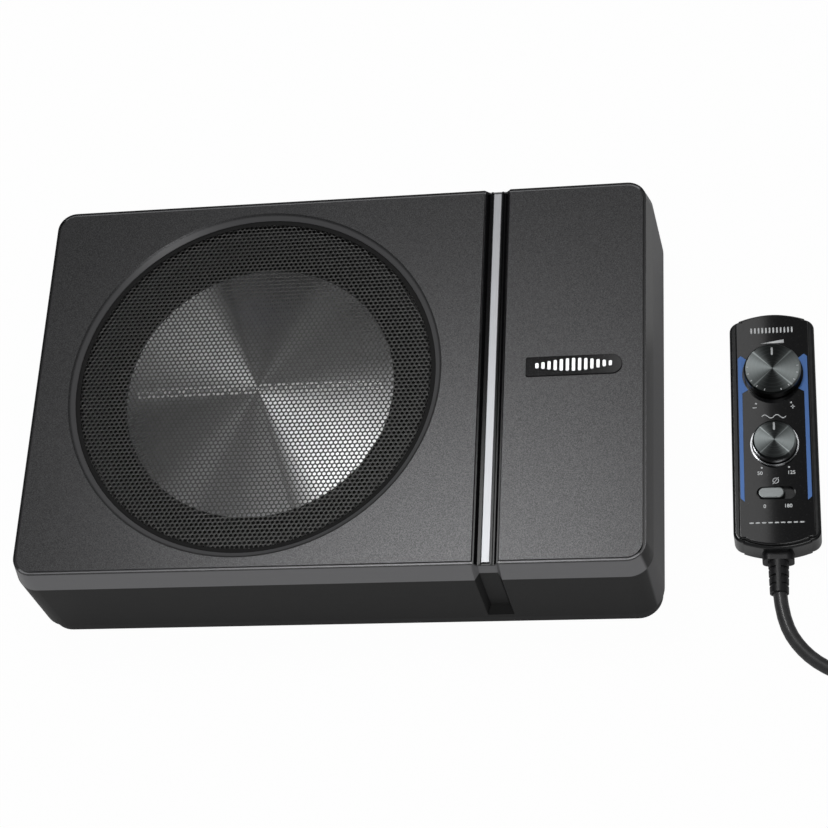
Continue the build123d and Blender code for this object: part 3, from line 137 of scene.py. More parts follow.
class Finish:
    """A material or world being made: its node tree, and one method that adds any node."""

    def __init__(self, name, world=False):
        self.output = "ShaderNodeOutputWorld" if world else "ShaderNodeOutputMaterial"
        self.made = (bpy.data.worlds if world else bpy.data.materials).new(name)
        self.made.use_nodes = True
        self.tree = self.made.node_tree
        self.tree.nodes.clear()

    def node(self, kind, settings=None, inputs=None, out=0):
        """Adds a node of a type; settings come first, then the values or links of its sockets."""
        node = self.tree.nodes.new("ShaderNode" + kind)
        for key, value in (settings or {}).items():
            setattr(node, key, value)
        for key, value in (inputs or {}).items():
            if isinstance(value, Value):
                self.tree.links.new(value.socket, node.inputs[key])
            else:
                node.inputs[key].default_value = value
        return Value(self.tree, node.outputs[out])

    def parts(self, vector):
        """The three numbers of a vector."""
        node = self.node("SeparateXYZ", inputs={0: vector}).socket.node
        return [Value(self.tree, output) for output in node.outputs]

    def place(self, centre=(0, 0, 0)):
        """Object coordinates from a centre."""
        coordinates = self.node("TexCoord", out=3)
        return self.node(
            "VectorMath", {"operation": "SUBTRACT"}, {0: coordinates, 1: tuple(centre)}
        )

    def stretched(self, grain):
        """Object coordinates, each scaled by its own number."""
        return self.node("VectorMath", {"operation": "MULTIPLY"}, {0: self.place(), 1: grain})

    def noise(self, where, size, detail=2.0, rough=0.5):
        """Noise whose features are about size across."""
        return self.node(
            "TexNoise",
            inputs={"Vector": where, "Scale": 1 / size, "Detail": detail, "Roughness": rough},
        )

    def blend(self, share, first, second):
        """A colour between two colours."""
        first, second = (
            colour if isinstance(colour, Value) else grey(colour) for colour in (first, second)
        )
        return self.node("Mix", {"data_type": "RGBA"}, {0: share, 6: first, 7: second}, out=2)

    def step(self, value, low, high):
        """Rises smoothly from 0 at low to 1 at high."""
        return self.node(
            "MapRange",
            {"interpolation_type": "SMOOTHSTEP"},
            {"Value": value, "From Min": low, "From Max": high},
        )

    def bump(self, height, strength, distance):
        """A normal from a height."""
        return self.node(
            "Bump", inputs={"Height": height, "Strength": strength, "Distance": distance}
        )

    def surface(self, **sockets):
        """The Principled shader that ends the material, its sockets named in words."""
        shader = self.node(
            "BsdfPrincipled",
            inputs={key.replace("_", " ").title().replace("Ior", "IOR"): value
                    for key, value in sockets.items()},
        )
        return self.ends(shader)

    def ends(self, shader):
        """Links a shader to the output and gives back the material or world."""
        output = self.tree.nodes.new(self.output)
        self.tree.links.new(shader.socket, output.inputs["Surface"])
        return self.made


def grey(colour):
    """A colour with four parts, from one number or three."""
    if isinstance(colour, (int, float)):
        return (colour, colour, colour, 1.0)
    return tuple(colour)[:3] + (1.0,)


def shade(colour, amount):
    """A colour made darker or lighter, up to white."""
    return tuple(min(1.0, amount * part) for part in colour)


# ---- finishes ----
def cover_coat(colour, flake, drop):
    """Charcoal paint with metal flakes on the cover, in zones.

    The top face is satin. Below it comes a bevel, painted pale at the front and back as
    painted light and dark at the sides as painted shade, and plain walls, painted dark at the
    front and back as painted shade and lighter at the sides as painted light. The bevel round
    the opening is painted lighter than the face, a painted highlight. Side is 1 where a point
    is further past the top face's side edge than past its front or back edge.
    """
    finish = Finish("cover_paint")
    where = finish.place()
    soft = 0.3 * MM  # half the width of the change from bevel to wall
    grain = finish.noise(where, 0.42 * MM, 1.0)
    fleck = finish.noise(where, 0.26 * MM, 0.0)
    cloud = finish.noise(where, 0.12, 2.0)
    spark = finish.step(fleck, 0.5, 0.8)
    tone = finish.step(grain, 0.30, 0.74) * 0.4 + finish.step(fleck, 0.64, 0.78) * 0.6
    x, y, height = finish.parts(where)
    past_side = x.math("ABSOLUTE") - EDGE_X
    past_front = y.math("ABSOLUTE") - EDGE_Y
    side = finish.step(past_side - past_front, -1.5 * MM, 1.5 * MM)
    below = 1 - finish.step(height, TOP_Z - drop - soft, TOP_Z - drop + soft)
    lower = 1 - finish.step(height, TOP_Z - 1.2 * MM, TOP_Z - 0.4 * MM)
    from_x, from_y = x - DRIVER.x, y - DRIVER.y
    outside = finish.step((from_x * from_x + from_y * from_y) ** 0.5, 107 * MM, 108 * MM)
    bevel = lower * outside * (1 - below)
    # face is the plain paint; ring is painted light, the paint made lighter on the bevel round the
    # opening
    face, ring = shade(colour, 0.8), shade(colour, 2.4)
    # painted light on the front and back bevel, painted shade on the side bevels
    bevel_light_and_shade = finish.blend(side, shade(colour, 6.6), shade(colour, 0.5))
    # painted shade on the front and back walls, painted light on the side walls
    walls = finish.blend(side, shade(colour, 0.15), shade(colour, 3.0))
    base = finish.blend(tone, face, flake)
    base = finish.blend(cloud * 0.25, base, face)
    base = finish.blend(lower * (1 - outside), base, ring)
    base = finish.blend(bevel, base, bevel_light_and_shade)
    base = finish.blend(below, base, walls)
    return finish.surface(
        base_color=base, roughness=0.35 - spark * 0.06 + below * 0.2,
        metallic=(spark * 0.3 + 0.55) * (1 - lower * 0.8),
        normal=finish.bump(grain, 0.05, 0.03 * MM), specular_ior_level=0.25,
    )


def moulded(name, colour, rough, grain, depth, coat=0.0):
    """Moulded plastic or rubber with a fine grain and slight handling marks."""
    finish = Finish(name)
    where = finish.place()
    fine = finish.noise(where, grain * MM, 2.0)
    cloud = finish.noise(where, 14 * grain * MM, 3.0, 0.6)
    base = finish.blend(finish.step(cloud, 0.3, 0.75), shade(colour, 0.82), shade(colour, 1.16))
    return finish.surface(
        base_color=base, roughness=rough + (cloud - 0.5) * 0.14,
        normal=finish.bump(fine, depth, 0.08 * MM), coat_weight=coat, specular_ior_level=0.3,
    )


def glossy(name, colour, rough=0.06, shine=0.4):
    """High gloss plastic with faint dust and hairline marks."""
    finish = Finish(name)
    marks = finish.noise(finish.stretched((1.0, 0.12, 1.0)), 0.8 * MM, 2.0)
    dust = finish.noise(finish.place(), 0.5 * MM, 0.0)
    base = finish.blend(finish.step(dust, 0.74, 0.82) * 0.12, colour, 0.15)
    return finish.surface(
        base_color=base, roughness=rough + finish.step(marks, 0.6, 0.8) * 0.05,
        specular_ior_level=shine,
    )


def metal(name, colour, rough, grain=(1.0, 1.0, 1.0), size=0.4, depth=0.15, sheen=1.0):
    """Metal with a grain drawn out along its long axis."""
    finish = Finish(name)
    lines = finish.noise(finish.stretched(grain), size * MM, 3.0, 0.6)
    cloud = finish.noise(finish.place(), 12 * MM, 2.0)
    base = finish.blend(
        finish.step(lines, 0.3, 0.7) * 0.5 + cloud * 0.3, shade(colour, 0.80),
        shade(colour, 1.10),
    )
    return finish.surface(
        base_color=base, metallic=sheen, roughness=rough + (lines - 0.5) * 0.16,
        normal=finish.bump(lines, depth, 0.04 * MM),
    )


def dome_painted_highlights(finish, angle):
    """Two opposite sectors of painted highlight, and a fainter painted pair beside them.

    Share is how far the angle has gone through each half turn from the sectors' edge.
    """
    edge = math.radians(108)
    share = ((angle - edge) / math.pi).math("FRACT")
    sector = finish.step(share, 0.0, 0.10) * (1 - finish.step(share, 0.18, 0.50))
    faint = finish.step(share, 0.62, 0.72) - finish.step(share, 0.74, 0.80) * 0.9
    return sector + faint * 0.10 + finish.step(share, 0.84, 0.97) * (1 - sector) * 0.10


def knob_painted_highlights(finish, angle):
    """Painted highlights: two opposite sectors to the left and right, and four thin rays between
    them.
    """
    wave = (angle * 2.0).math("COSINE")
    sector = (wave * 0.5 + 0.5) ** 1.6 * 0.8
    return sector + (1 - finish.step(wave.math("ABSOLUTE"), 0.0, 0.13)) * 0.5


def spun(name, colour, centre, rough, rings, painted_highlight, links=None, sheen=1.0, dark=0.05):
    """Metal turned on a lathe: fine rings, and sectors of painted highlight in its colour.

    The painted highlights are a function of the angle about the piece's own axis, with the
    rings' grain mixed in; dark is how bright the colour is between them, a painted shade. A
    row of printed links, if asked for, crosses the middle: each is the set of points whose
    distance from a rounded bar is under half a line.
    """
    finish = Finish(name)
    x, y, _ = finish.parts(finish.place(centre))
    radius = (x * x + y * y) ** 0.5
    angle = y.math("ARCTAN2", x)
    outward = finish.node("CombineXYZ", inputs={0: radius / (rings * MM), 1: 0.0, 2: 0.0})
    ring = finish.node("TexNoise", inputs={"Vector": outward, "Scale": 1.0, "Detail": 3.0})
    # painted highlights and painted shade by angle, with the rings' grain as real tone
    share = painted_highlight(finish, angle) + (ring - 0.5) * 0.35
    base = finish.blend(share, shade(colour, dark), shade(colour, 0.98))
    metallic = sheen
    if links:
        pitch, row_half, bar, line = links
        bar_tall, round_by = 0.8 * MM, 1.3 * MM
        along = (x / pitch).math("FRACT") - 0.5
        out_x = ((along * pitch).math("ABSOLUTE") - bar).math("MAXIMUM", 0.0)
        out_y = (y.math("ABSOLUTE") - bar_tall).math("MAXIMUM", 0.0)
        reach = ((out_x * out_x + out_y * out_y) ** 0.5 - round_by).math("ABSOLUTE")
        ink = 1 - finish.step(reach, line / 2, line)
        ink = ink * (1 - finish.step(x.math("ABSOLUTE"), row_half, row_half + 0.1 * MM))
        base = finish.blend(ink, base, 0.85)
        metallic = (1 - ink) * sheen
    return finish.surface(
        base_color=base, metallic=metallic, roughness=rough + (ring - 0.5) * 0.10,
        normal=finish.bump(ring, 0.10, 0.02 * MM), anisotropic=0.5,
    )


def woven(name, first, second, pitch):
    """Cloth: warp and weft threads crossing at a pitch."""
    finish = Finish(name)
    x, y, z = finish.parts(finish.place())
    per_metre = TAU / (pitch * MM)
    warp = ((x + z) * per_metre).math("SINE")
    weft = ((y - z) * per_metre).math("SINE")
    thread = warp * weft * 0.5 + 0.5
    fuzz = finish.noise(finish.place(), 0.3 * pitch * MM, 3.0)
    base = finish.blend(thread * 0.7 + fuzz * 0.3, first, second)
    return finish.surface(
        base_color=base, roughness=0.85, normal=finish.bump(thread + fuzz * 0.4, 0.5, 0.2 * MM)
    )


def windings(name, colour, centre, pitch):
    """Enamelled wire wound round a ring: ridges that follow the angle about its axis.

    A ridge is one period of a sine of the angle, a pitch long on a ring of 20 mm radius;
    the colour is darker between the ridges, painted shade in the grooves.
    """
    finish = Finish(name)
    x, y, _ = finish.parts(finish.place(centre))
    turns = (y.math("ARCTAN2", x) * (1 / (pitch / 20.0))).math("SINE") * 0.5 + 0.5
    # painted shade: the wire's colour darkened in the grooves between turns
    base = finish.blend(turns, shade(colour, 0.45), colour)
    return finish.surface(
        base_color=base, metallic=0.85, roughness=0.32, normal=finish.bump(turns, 0.6, 0.3 * MM),
        coat_weight=0.4,
    )


def plain_print(name, colour, rough=0.5):
    """Ink or lacquer of a printed mark, with its edge wear as a faint mottle."""
    finish = Finish(name)
    mottle = finish.noise(finish.place(), 0.35 * MM, 2.0)
    base = finish.blend(finish.step(mottle, 0.25, 0.7), shade(colour, 0.82), colour)
    return finish.surface(base_color=base, roughness=rough)


# ---- mesh tools ----
def added(name, data):
    """A new object in the scene."""
    thing = bpy.data.objects.new(name, data)
    bpy.context.scene.collection.objects.link(thing)
    return thing


def mesh_piece(name, points, *face_arrays):
    """A mesh object from an array of points and arrays of faces, one array per corner count."""
    mesh = bpy.data.meshes.new(name)
    corners = np.concatenate([faces.ravel() for faces in face_arrays]).astype(np.int32)
    sizes = np.concatenate([np.full(len(faces), faces.shape[1]) for faces in face_arrays])
    starts = np.concatenate([[0], np.cumsum(sizes)[:-1]]).astype(np.int32)
    mesh.vertices.add(len(points))
    mesh.vertices.foreach_set("co", np.asarray(points, np.float32).ravel())
    mesh.loops.add(len(corners))
    mesh.loops.foreach_set("vertex_index", corners)
    mesh.polygons.add(len(sizes))
    mesh.polygons.foreach_set("loop_start", starts)
    mesh.update(calc_edges=True)
    mesh.validate()
    return added(name, mesh)


def grid_faces(rows, columns, wrap_rows=False, wrap_columns=False):
    """Four-cornered faces of a grid of points, row by row, closed round where wrapped."""
    row = np.arange(rows if wrap_rows else rows - 1)
    column = np.arange(columns if wrap_columns else columns - 1)
    r, c = np.meshgrid(row, column, indexing="ij")
    next_r, next_c = (r + 1) % rows, (c + 1) % columns
    corners = [r * columns + c, r * columns + next_c, next_r * columns + next_c,
               next_r * columns + c]
    return np.stack([corner.ravel() for corner in corners], 1)


def tidy(piece, smooth_angle=None):
    """Merges doubled points, turns the faces outwards and smooths below an angle in degrees."""
    work = bmesh.new()
    work.from_mesh(piece.data)
    bmesh.ops.remove_doubles(work, verts=work.verts, dist=0.002 * MM)
    bmesh.ops.recalc_face_normals(work, faces=work.faces)
    work.to_mesh(piece.data)
    work.free()
    if smooth_angle is not None:
        piece.data.shade_smooth()
        piece.data.set_sharp_from_angle(angle=math.radians(smooth_angle))
    return piece


def lathe(name, profile, centre, steps=128, smooth_angle=35):
    """A closed profile of (radius, height) in millimetres turned about Z through a centre.

    Point = centre + (radius * cos(turn), radius * sin(turn), height).
    """
    outline = np.asarray(profile, float) * MM
    turn = np.linspace(0, TAU, steps, endpoint=False)
    radius, height = outline[:, 0], outline[:, 1]
    points = np.stack([
        centre[0] + np.outer(np.cos(turn), radius),
        centre[1] + np.outer(np.sin(turn), radius),
        np.broadcast_to(height, (steps, len(outline))),
    ], 2).reshape(-1, 3)
    piece = mesh_piece(name, points, grid_faces(steps, len(outline), True, True))
    return tidy(piece, smooth_angle)


def capsule(start, end, wide):
    """Outline of a bar with round ends, in millimetres, as points counter-clockwise.

    Each end is a half circle about its own centre, facing away from the other end.
    """
    start, end = np.asarray(start, float), np.asarray(end, float)
    ahead = math.atan2(end[1] - start[1], end[0] - start[0])
    half = np.linspace(-math.pi / 2, math.pi / 2, 7)
    caps = [
        centre + wide / 2 * np.column_stack([np.cos(half + turn), np.sin(half + turn)])
        for centre, turn in ((end, ahead), (start, ahead + math.pi))
    ]
    return np.concatenate(caps)


def plate(name, outlines, centre, level, thick=0.05):
    """Flat shapes in millimetres about a centre, each raised a hair's breadth above a level.

    Every outline gives a lower ring, an upper ring, a wall between them and two caps.
    """
    points, walls, caps = [], [], []
    count = 0
    for outline in outlines:
        size = len(outline)
        flat = np.asarray(outline, float) * MM + (centre[0], centre[1])
        for height in (level - 0.02 * MM, level + (thick - 0.02) * MM):
            points.append(np.column_stack([flat, np.full(size, height)]))
        walls.append(grid_faces(2, size, wrap_columns=True) + count)
        caps.append((np.arange(size)[None, ::-1]) + count)
        caps.append(np.arange(size)[None, :] + count + size)
        count += 2 * size
    return tidy(mesh_piece(name, np.concatenate(points), *walls, *caps))


def wear(piece, material):
    """Gives a piece its material."""
    piece.data.materials.clear()
    piece.data.materials.append(material)


def dress(material, *nodes):
    """Puts a material in every slot of CAD nodes."""
    for node in nodes:
        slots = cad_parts[node].data.materials
        if not slots:
            slots.append(material)
        for place in range(len(slots)):
            slots[place] = material


def seat(piece, material, body, slot, *nodes):
    """Finishes a piece, rides it on a body and hides the nodes it stands for; slot is not used."""
    wear(piece, material)
    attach(piece, body)
    if nodes:
        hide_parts(*nodes)
    return piece


# ---- sizes and colours ----
class StageSizes(PropertyGroup):
    """Camera, lamps and floor."""

    lens: FloatProperty(name="Lens", description="Focal length on a 36 mm sensor", default=92.76)
    position: FloatVectorProperty(
        name="Camera position", description="Where the camera stands", unit="LENGTH",
        default=(0.25356, -0.51239, 1.07237),
    )
    aim: FloatVectorProperty(
        name="Aim", description="Point on the floor in the middle of the view", unit="LENGTH",
        default=(0.02927, 0.01309, 0.0),
    )
    roll: FloatProperty(
        name="Roll", description="Turn of the camera about its own axis", subtype="ANGLE",
        default=math.radians(22.817),
    )
    soft_power: FloatProperty(
        name="Softbox", description="Power of the box overhead", unit="POWER", default=11.0
    )
    key_power: FloatProperty(
        name="Key lamp", description="Power of the lamp in front", unit="POWER", default=6.0
    )
    card_power: FloatProperty(
        name="Card", description="Power of the pale card that gloss reflects", unit="POWER",
        default=0.45,
    )
    sky_low: FloatProperty(
        name="Horizon", description="Brightness of the surroundings low down", default=0.45
    )
    sky_high: FloatProperty(
        name="Zenith", description="Brightness of the surroundings overhead", default=0.20
    )


class CordSizes(PropertyGroup):
    """The remote control's lead."""

    diameter: FloatProperty(
        name="Diameter", description="Thickness of the lead", unit="LENGTH", default=7.5 * MM
    )
    turns: FloatProperty(
        name="Turns", description="Turns in the put-away coil", default=15.25
    )
    layers: IntProperty(name="Layers", description="Layers of turns in the coil", default=4)
    per_turn: IntProperty(
        name="Points per turn", description="Control points in each turn", default=16
    )


class CaseSizes(PropertyGroup):
    """The case's own heights."""

    bevel_drop: FloatProperty(
        name="Bevel", description="Height of the lighter bevel below the top face",
        unit="LENGTH", default=14.0 * MM,
    )


class GrilleSizes(PropertyGroup):
    """The perforated sheet over the driver."""

    pitch: FloatProperty(
        name="Pitch", description="Distance between holes in a row", unit="LENGTH",
        default=2.6 * MM,
    )
    hole: FloatProperty(
        name="Hole", description="Width of a hole", unit="LENGTH", default=2.0 * MM
    )
    sheet: FloatProperty(
        name="Sheet", description="Thickness of the sheet", unit="LENGTH", default=0.5 * MM
    )
    field: FloatProperty(
        name="Field", description="Radius of the perforated field", unit="LENGTH",
        default=98.4 * MM,
    )


class Colours(PropertyGroup):
    """Colours of the main finishes."""

    paint: FloatVectorProperty(
        name="Cover paint", description="Charcoal of the cover", subtype="COLOR",
        default=(0.030, 0.030, 0.031),
    )
    flake: FloatVectorProperty(
        name="Flakes", description="Metal flakes in the paint", subtype="COLOR",
        default=(0.115, 0.115, 0.118),
    )
    grille: FloatVectorProperty(
        name="Grille", description="Enamel of the perforated sheet", subtype="COLOR",
        default=(0.056, 0.056, 0.055),
    )
    blue: FloatVectorProperty(
        name="Inlay blue", description="Blue of the remote control's inlays", subtype="COLOR",
        default=(0.045, 0.125, 0.34),
    )
    silver: FloatVectorProperty(
        name="Spun aluminium", description="Colour of the driver's dome", subtype="COLOR",
        default=(0.95, 0.955, 0.96),
    )


# ---- stage ----
class SUB_OT_stage(Operator):
    """Floor, light and camera."""

    bl_idname = "subwoofer.stage"
    bl_label = "Stage"

    def execute(self, context):
        sizes = context.scene.subwoofer_stage
        scene = context.scene
        scene.view_settings.view_transform = "Standard"

        data = bpy.data.cameras.new("camera")
        data.lens = sizes.lens
        data.sensor_width = 36.0
        data.clip_start, data.clip_end = 0.01, 50.0
        camera = added("camera", data)
        sight = Vector(sizes.aim) - Vector(sizes.position)
        camera.location = sizes.position
        camera.rotation_mode = "QUATERNION"
        level = sight.to_track_quat("-Z", "Y")
        camera.rotation_quaternion = level @ Quaternion((0, 0, 1), -sizes.roll)
        scene.camera = camera

        for name, place, aim, width, length, power in (
            ("softbox", (-0.19, 0.36, 1.60), (0.07, -0.05, 0.07), 0.46, 0.46, sizes.soft_power),
            ("key", (0.55, -0.85, 1.60), (0.03, 0.0, 0.05), 0.60, 0.60, sizes.key_power),
            ("card", (0.09, 0.74, 1.60), (0.09, 0.74, 0.0), 0.20, 0.42, sizes.card_power),
        ):
            lamp = bpy.data.lights.new(name, "AREA")
            lamp.shape = "RECTANGLE"
            lamp.size, lamp.size_y = width, length
            lamp.energy = power
            holder = added(name, lamp)
            holder.location = place
            toward = Vector(aim) - Vector(place)
            holder.rotation_euler = toward.to_track_quat("-Z", "Y").to_euler()
        scene.world = self.sky(sizes.sky_low, sizes.sky_high)

        half = 6.0
        corners = half * np.array([(-1, -1, 0), (1, -1, 0), (1, 1, 0), (-1, 1, 0)])
        floor = mesh_piece("floor", corners, np.array([[0, 1, 2, 3]]))
        wear(floor, self.floor_finish())
        return {"FINISHED"}

    def sky(self, low, high):
        """Soft light that falls from the horizon's brightness to the zenith's; white when seen."""
        finish = Finish("surroundings", world=True)
        _, _, up = finish.parts(finish.node("TexCoord", out=0))
        level = low + finish.step(up, 0.05, 0.75) * (high - low)
        seen = finish.node("LightPath", out="Is Camera Ray")
        strength = seen + (1 - seen) * level
        return finish.ends(
            finish.node("Background", inputs={"Color": (1, 1, 1, 1), "Strength": strength})
        )

    def floor_finish(self):
        """Pale paper that the camera and mirrors see near white, with the shadows kept."""
        finish = Finish("stage_paper")
        by_camera = finish.node("LightPath", out="Is Camera Ray")
        by_gloss = finish.node("LightPath", out="Is Glossy Ray")
        fibre = finish.noise(finish.place(), 3 * MM, 2.0)
        paper = finish.node("BsdfDiffuse", inputs={"Color": finish.blend(fibre, 0.64, 0.67)})
        glow = finish.node("Emission", inputs={"Color": (1, 1, 1, 1), "Strength": 1.0})
        seen = by_camera * 0.98 + by_gloss * 0.20
        return finish.ends(finish.node("MixShader", inputs={0: seen, 1: paper, 2: glow}))


# ---- lead ----
# The first points of the lead's route, from the strain relief, in millimetres.
LEAD_POINTS = [
    (231.7, -93.3, 6.2),
    (231.7, -116.3, 6.2),
    (243.7, -137.3, 4.6),
    (264.7, -149.3, 3.8),
    (286.2, -153.1, 3.8),
    (306.7, -151.5, 3.8),
]
STUB = 32.0  # straight run into the coil and out of it
COIL_MID = 41.0  # radius at the middle of the turns
LAYER_RISE = 0.22  # share of a turn over which the lead climbs to the next layer
TAIL_STEPS = [(22.0, 0.0), (44.0, -8.0), (66.0, -20.1), (90.0, -20.1)]  # (onward, up)


class SUB_OT_lead(Operator):
    """The remote control's lead, its wound spare length, strap and plug."""

    bl_idname = "subwoofer.lead"
    bl_label = "Lead"

    def execute(self, context):
        sizes = context.scene.subwoofer_cord
        points, self.centre = self.route(sizes)
        lead = self.smooth_line("lead", points)
        lead.data.bevel_depth = sizes.diameter / 2
        lead.data.bevel_resolution = 5
        lead.data.use_fill_caps = True
        context.scene.collection.objects.link(lead)
        jacket = moulded("lead_jacket", (0.035, 0.035, 0.036), 0.42, 0.35, 0.12, coat=0.1)
        seat(lead, jacket, "remote", "cord_jacket", "cord_lead", "cord_coil", "cord_tail")
        strap = self.strap()
        plug = self.plug(points)
        self.length(points)
        return {"FINISHED"}

    def route(self, sizes):
        """Control points: the listed run, the coil's layered spirals, the tail to the plug.

        Turn k of a layer lies one diameter nearer the middle than the last, or further out
        on every second layer; the height changes by one diameter over a short arc between
        layers. Radii are a little larger than the wound ones, as the smooth line cuts inside
        its points.
        """
        run = np.array(LEAD_POINTS)
        wire = sizes.diameter / MM
        ahead = run[-1] - run[-2]
        ahead[2] = 0
        ahead /= np.linalg.norm(ahead)
        aside = np.array([-ahead[1], ahead[0], 0])
        span = sizes.turns / sizes.layers
        outer = COIL_MID + span * wire / 2
        centre = run[-1] + ahead * STUB + aside * outer
        low = run[-1][2]
        turn = np.linspace(0, sizes.turns, int(round(sizes.turns * sizes.per_turn)) + 1)
        layer = np.minimum((turn / span).astype(int), sizes.layers - 1)
        share = turn / span - layer
        radius = outer - span * wire * np.where(layer % 2 == 0, share, 1 - share)
        rise = np.clip((share - 1) * span / LAYER_RISE + 1, 0, 1)
        rise = rise * rise * (3 - 2 * rise)
        rise[layer == sizes.layers - 1] = 0
        height = low + wire * (layer + rise)
        angle = math.atan2(ahead[1], ahead[0]) - math.pi / 2 + TAU * turn
        inside = 0.75 + 0.25 * math.cos(TAU / sizes.per_turn)
        coil = np.stack([
            centre[0] + radius / inside * np.cos(angle),
            centre[1] + radius / inside * np.sin(angle),
            height,
        ], 1)
        side = np.array([math.cos(angle[-1]), math.sin(angle[-1]), 0])
        onward = np.array([-side[1], side[0], 0])
        leave = np.array([centre[0], centre[1], low + wire * (sizes.layers - 1)])
        leave += side * outer
        joined = run[-1] + ahead * (STUB - 10)
        tail = [leave + onward * 10, leave + onward * (STUB - 4)]
        tail += [
            leave + onward * (STUB + along) + np.array([0, 0, up]) for along, up in TAIL_STEPS
        ]
        return np.concatenate([run, [joined], coil, tail]) * MM, centre * MM

    def smooth_line(self, name, points):
        """A curve of one NURBS spline with the points as its control points."""
        curve = bpy.data.curves.new(name, "CURVE")
        curve.dimensions = "3D"
        curve.resolution_u = 5
        spline = curve.splines.new("NURBS")
        spline.points.add(len(points) - 1)
        spline.points.foreach_set(
            "co", np.column_stack([points, np.ones(len(points))]).ravel()
        )
        spline.order_u = 3
        spline.use_endpoint_u = True
        return bpy.data.objects.new(name, curve)

    def length(self, points):
        """Length of the smooth line, measured on its own spline."""
        holder = self.smooth_line("measure", points)
        mesh = bpy.data.meshes.new_from_object(holder)
        line = np.zeros(3 * len(mesh.vertices))
        mesh.vertices.foreach_get("co", line)
        bpy.data.objects.remove(holder)
        steps = np.diff(line.reshape(-1, 3), axis=0)
        return float(np.linalg.norm(steps, axis=1).sum())

    def strap(self):
        """The hook-and-loop strap: a band round the bundle, one section carried across.

        Its outer and inner loop are rectangles with corners of a quarter circle each.
        """
        centre = Vector((*self.centre[:2], 0))
        out = middle("cord_tie") - centre
        out.z = 0
        middle_r = out.length / MM
        out.normalize()
        along = np.array((-out.y, out.x, 0))
        half_wide, half_long, corner = 18.95, 6.0, 5.0
        bottom, top = 0.05, 31.0
        quarter = math.pi / 2
        arc = np.linspace(0, quarter, 8)
        loops = []
        for inset_x, inset_z in ((0.0, 0.0), (1.5, 0.8)):
            r = corner - inset_x
            wide, tall = half_wide - inset_x - r, (top - bottom) / 2 - inset_z - r
            loops.append(np.concatenate([
                np.column_stack([
                    sx * wide + r * np.cos(arc + turns * quarter),
                    sz * tall + r * np.sin(arc + turns * quarter),
                ])
                for sx, sz, turns in ((1, 1, 0), (-1, 1, 1), (-1, -1, 2), (1, -1, 3))
            ]))
        section = [
            np.outer(middle_r + loop[:, 0], np.array(out))
            + half_long * side * along
            + np.outer((top + bottom) / 2 + loop[:, 1], (0, 0, 1))
            for side, loop in ((-1, loops[0]), (1, loops[0]), (1, loops[1]), (-1, loops[1]))
        ]
        points = np.concatenate(section) * MM + np.array(centre)
        faces = grid_faces(4, len(loops[0]), True, True)
        strap = tidy(mesh_piece("lead_strap", points, faces), 40)
        cloth = woven("strap_cloth", (0.015, 0.015, 0.016), (0.05, 0.05, 0.052), 0.8)
        return seat(strap, cloth, "remote", "tie_fabric", "cord_tie")

    def plug(self, points):
        """The plug: a ribbed body turned about the tail's last run, its shell and its core."""
        end = Vector(points[-1])
        onward = (end - Vector(points[-2])).normalized()
        turned = onward.to_track_quat("Z", "X").to_matrix().to_4x4()
        turned.translation = end
        body = [(0, -6.0), (4.1, -6.0), (4.6, -5.0), (4.9, 0.0), (5.8, 1.2), (6.0, 2.4)]
        for k in range(6):
            start = 5.0 + 2.6 * k
            body += [(6.0, start), (5.5, start + 0.3), (5.5, start + 1.2), (6.0, start + 1.5)]
        body += [(6.0, 25.2), (5.4, 26.0), (0, 26.0)]
        shell = [(3.8, 25.5), (4.4, 25.5), (4.4, 33.6), (4.2, 34.0), (3.8, 34.0)]
        insert = [(0, 25.5), (3.7, 25.5), (3.7, 31.0), (0, 31.0)]
        grip = lathe("lead_plug", body, (0, 0), 48, 30)
        rubber = moulded("plug_rubber", (0.035, 0.035, 0.036), 0.45, 0.4, 0.2)
        seat(grip, rubber, "remote", "plug_black", "cord_plug")
        ring = lathe("lead_plug_shell", shell, (0, 0), 48, 30)
        seat(ring, metal("plug_nickel", (0.78, 0.77, 0.74), 0.18), "remote", "plug_black")
        core = lathe("lead_plug_core", insert, (0, 0), 32, 30)
        black = moulded("plug_core", (0.06, 0.06, 0.06), 0.5, 0.3, 0.1)
        seat(core, black, "remote", "plug_black")
        for part in (grip, ring, core):
            part.data.transform(turned)
        ring.parent, core.parent = grip, grip
        return grip


# ---- case ----
class SUB_OT_case(Operator):
    """Finishes of the cover, pan, feet and screws."""

    bl_idname = "subwoofer.case"
    bl_label = "Case"

    def execute(self, context):
        colours = context.scene.subwoofer_colours
        sizes = context.scene.subwoofer_case
        paint = cover_coat(tuple(colours.paint), tuple(colours.flake), sizes.bevel_drop)
        dress(paint, "top_cover")
        dress(moulded("pan_coat", (0.010, 0.010, 0.011), 0.6, 0.5, 0.35), "base_pan")
        dress(moulded("foot_rubber", (0.025, 0.025, 0.025), 0.8, 0.6, 0.3), "rubber_feet")
        screw = metal("screw_zinc", (0.32, 0.32, 0.33), 0.35)
        dress(screw, "case_screws", "board_screws", "driver_screws", "remote_screws")
        return {"FINISHED"}


class SUB_OT_trim(Operator):
    """Finishes of the trim bar, its bright strip and the badge."""

    bl_idname = "subwoofer.trim"
    bl_label = "Trim and badge"

    def execute(self, context):
        dress(glossy("trim_black", (0.004, 0.004, 0.0045), 0.16, 0.1), "trim_bar")
        strip = metal("strip_satin", (0.34, 0.345, 0.36), 0.40, (1.0, 0.02, 1.0), 0.25, 0.08, 0.6)
        dress(strip, "trim_strip")
        dress(glossy("badge_black", (0.005, 0.005, 0.0055), 0.10), "badge_plate")
        dress(metal("badge_silver", (0.72, 0.725, 0.74), 0.30, sheen=0.6), "badge_bars")
        return {"FINISHED"}


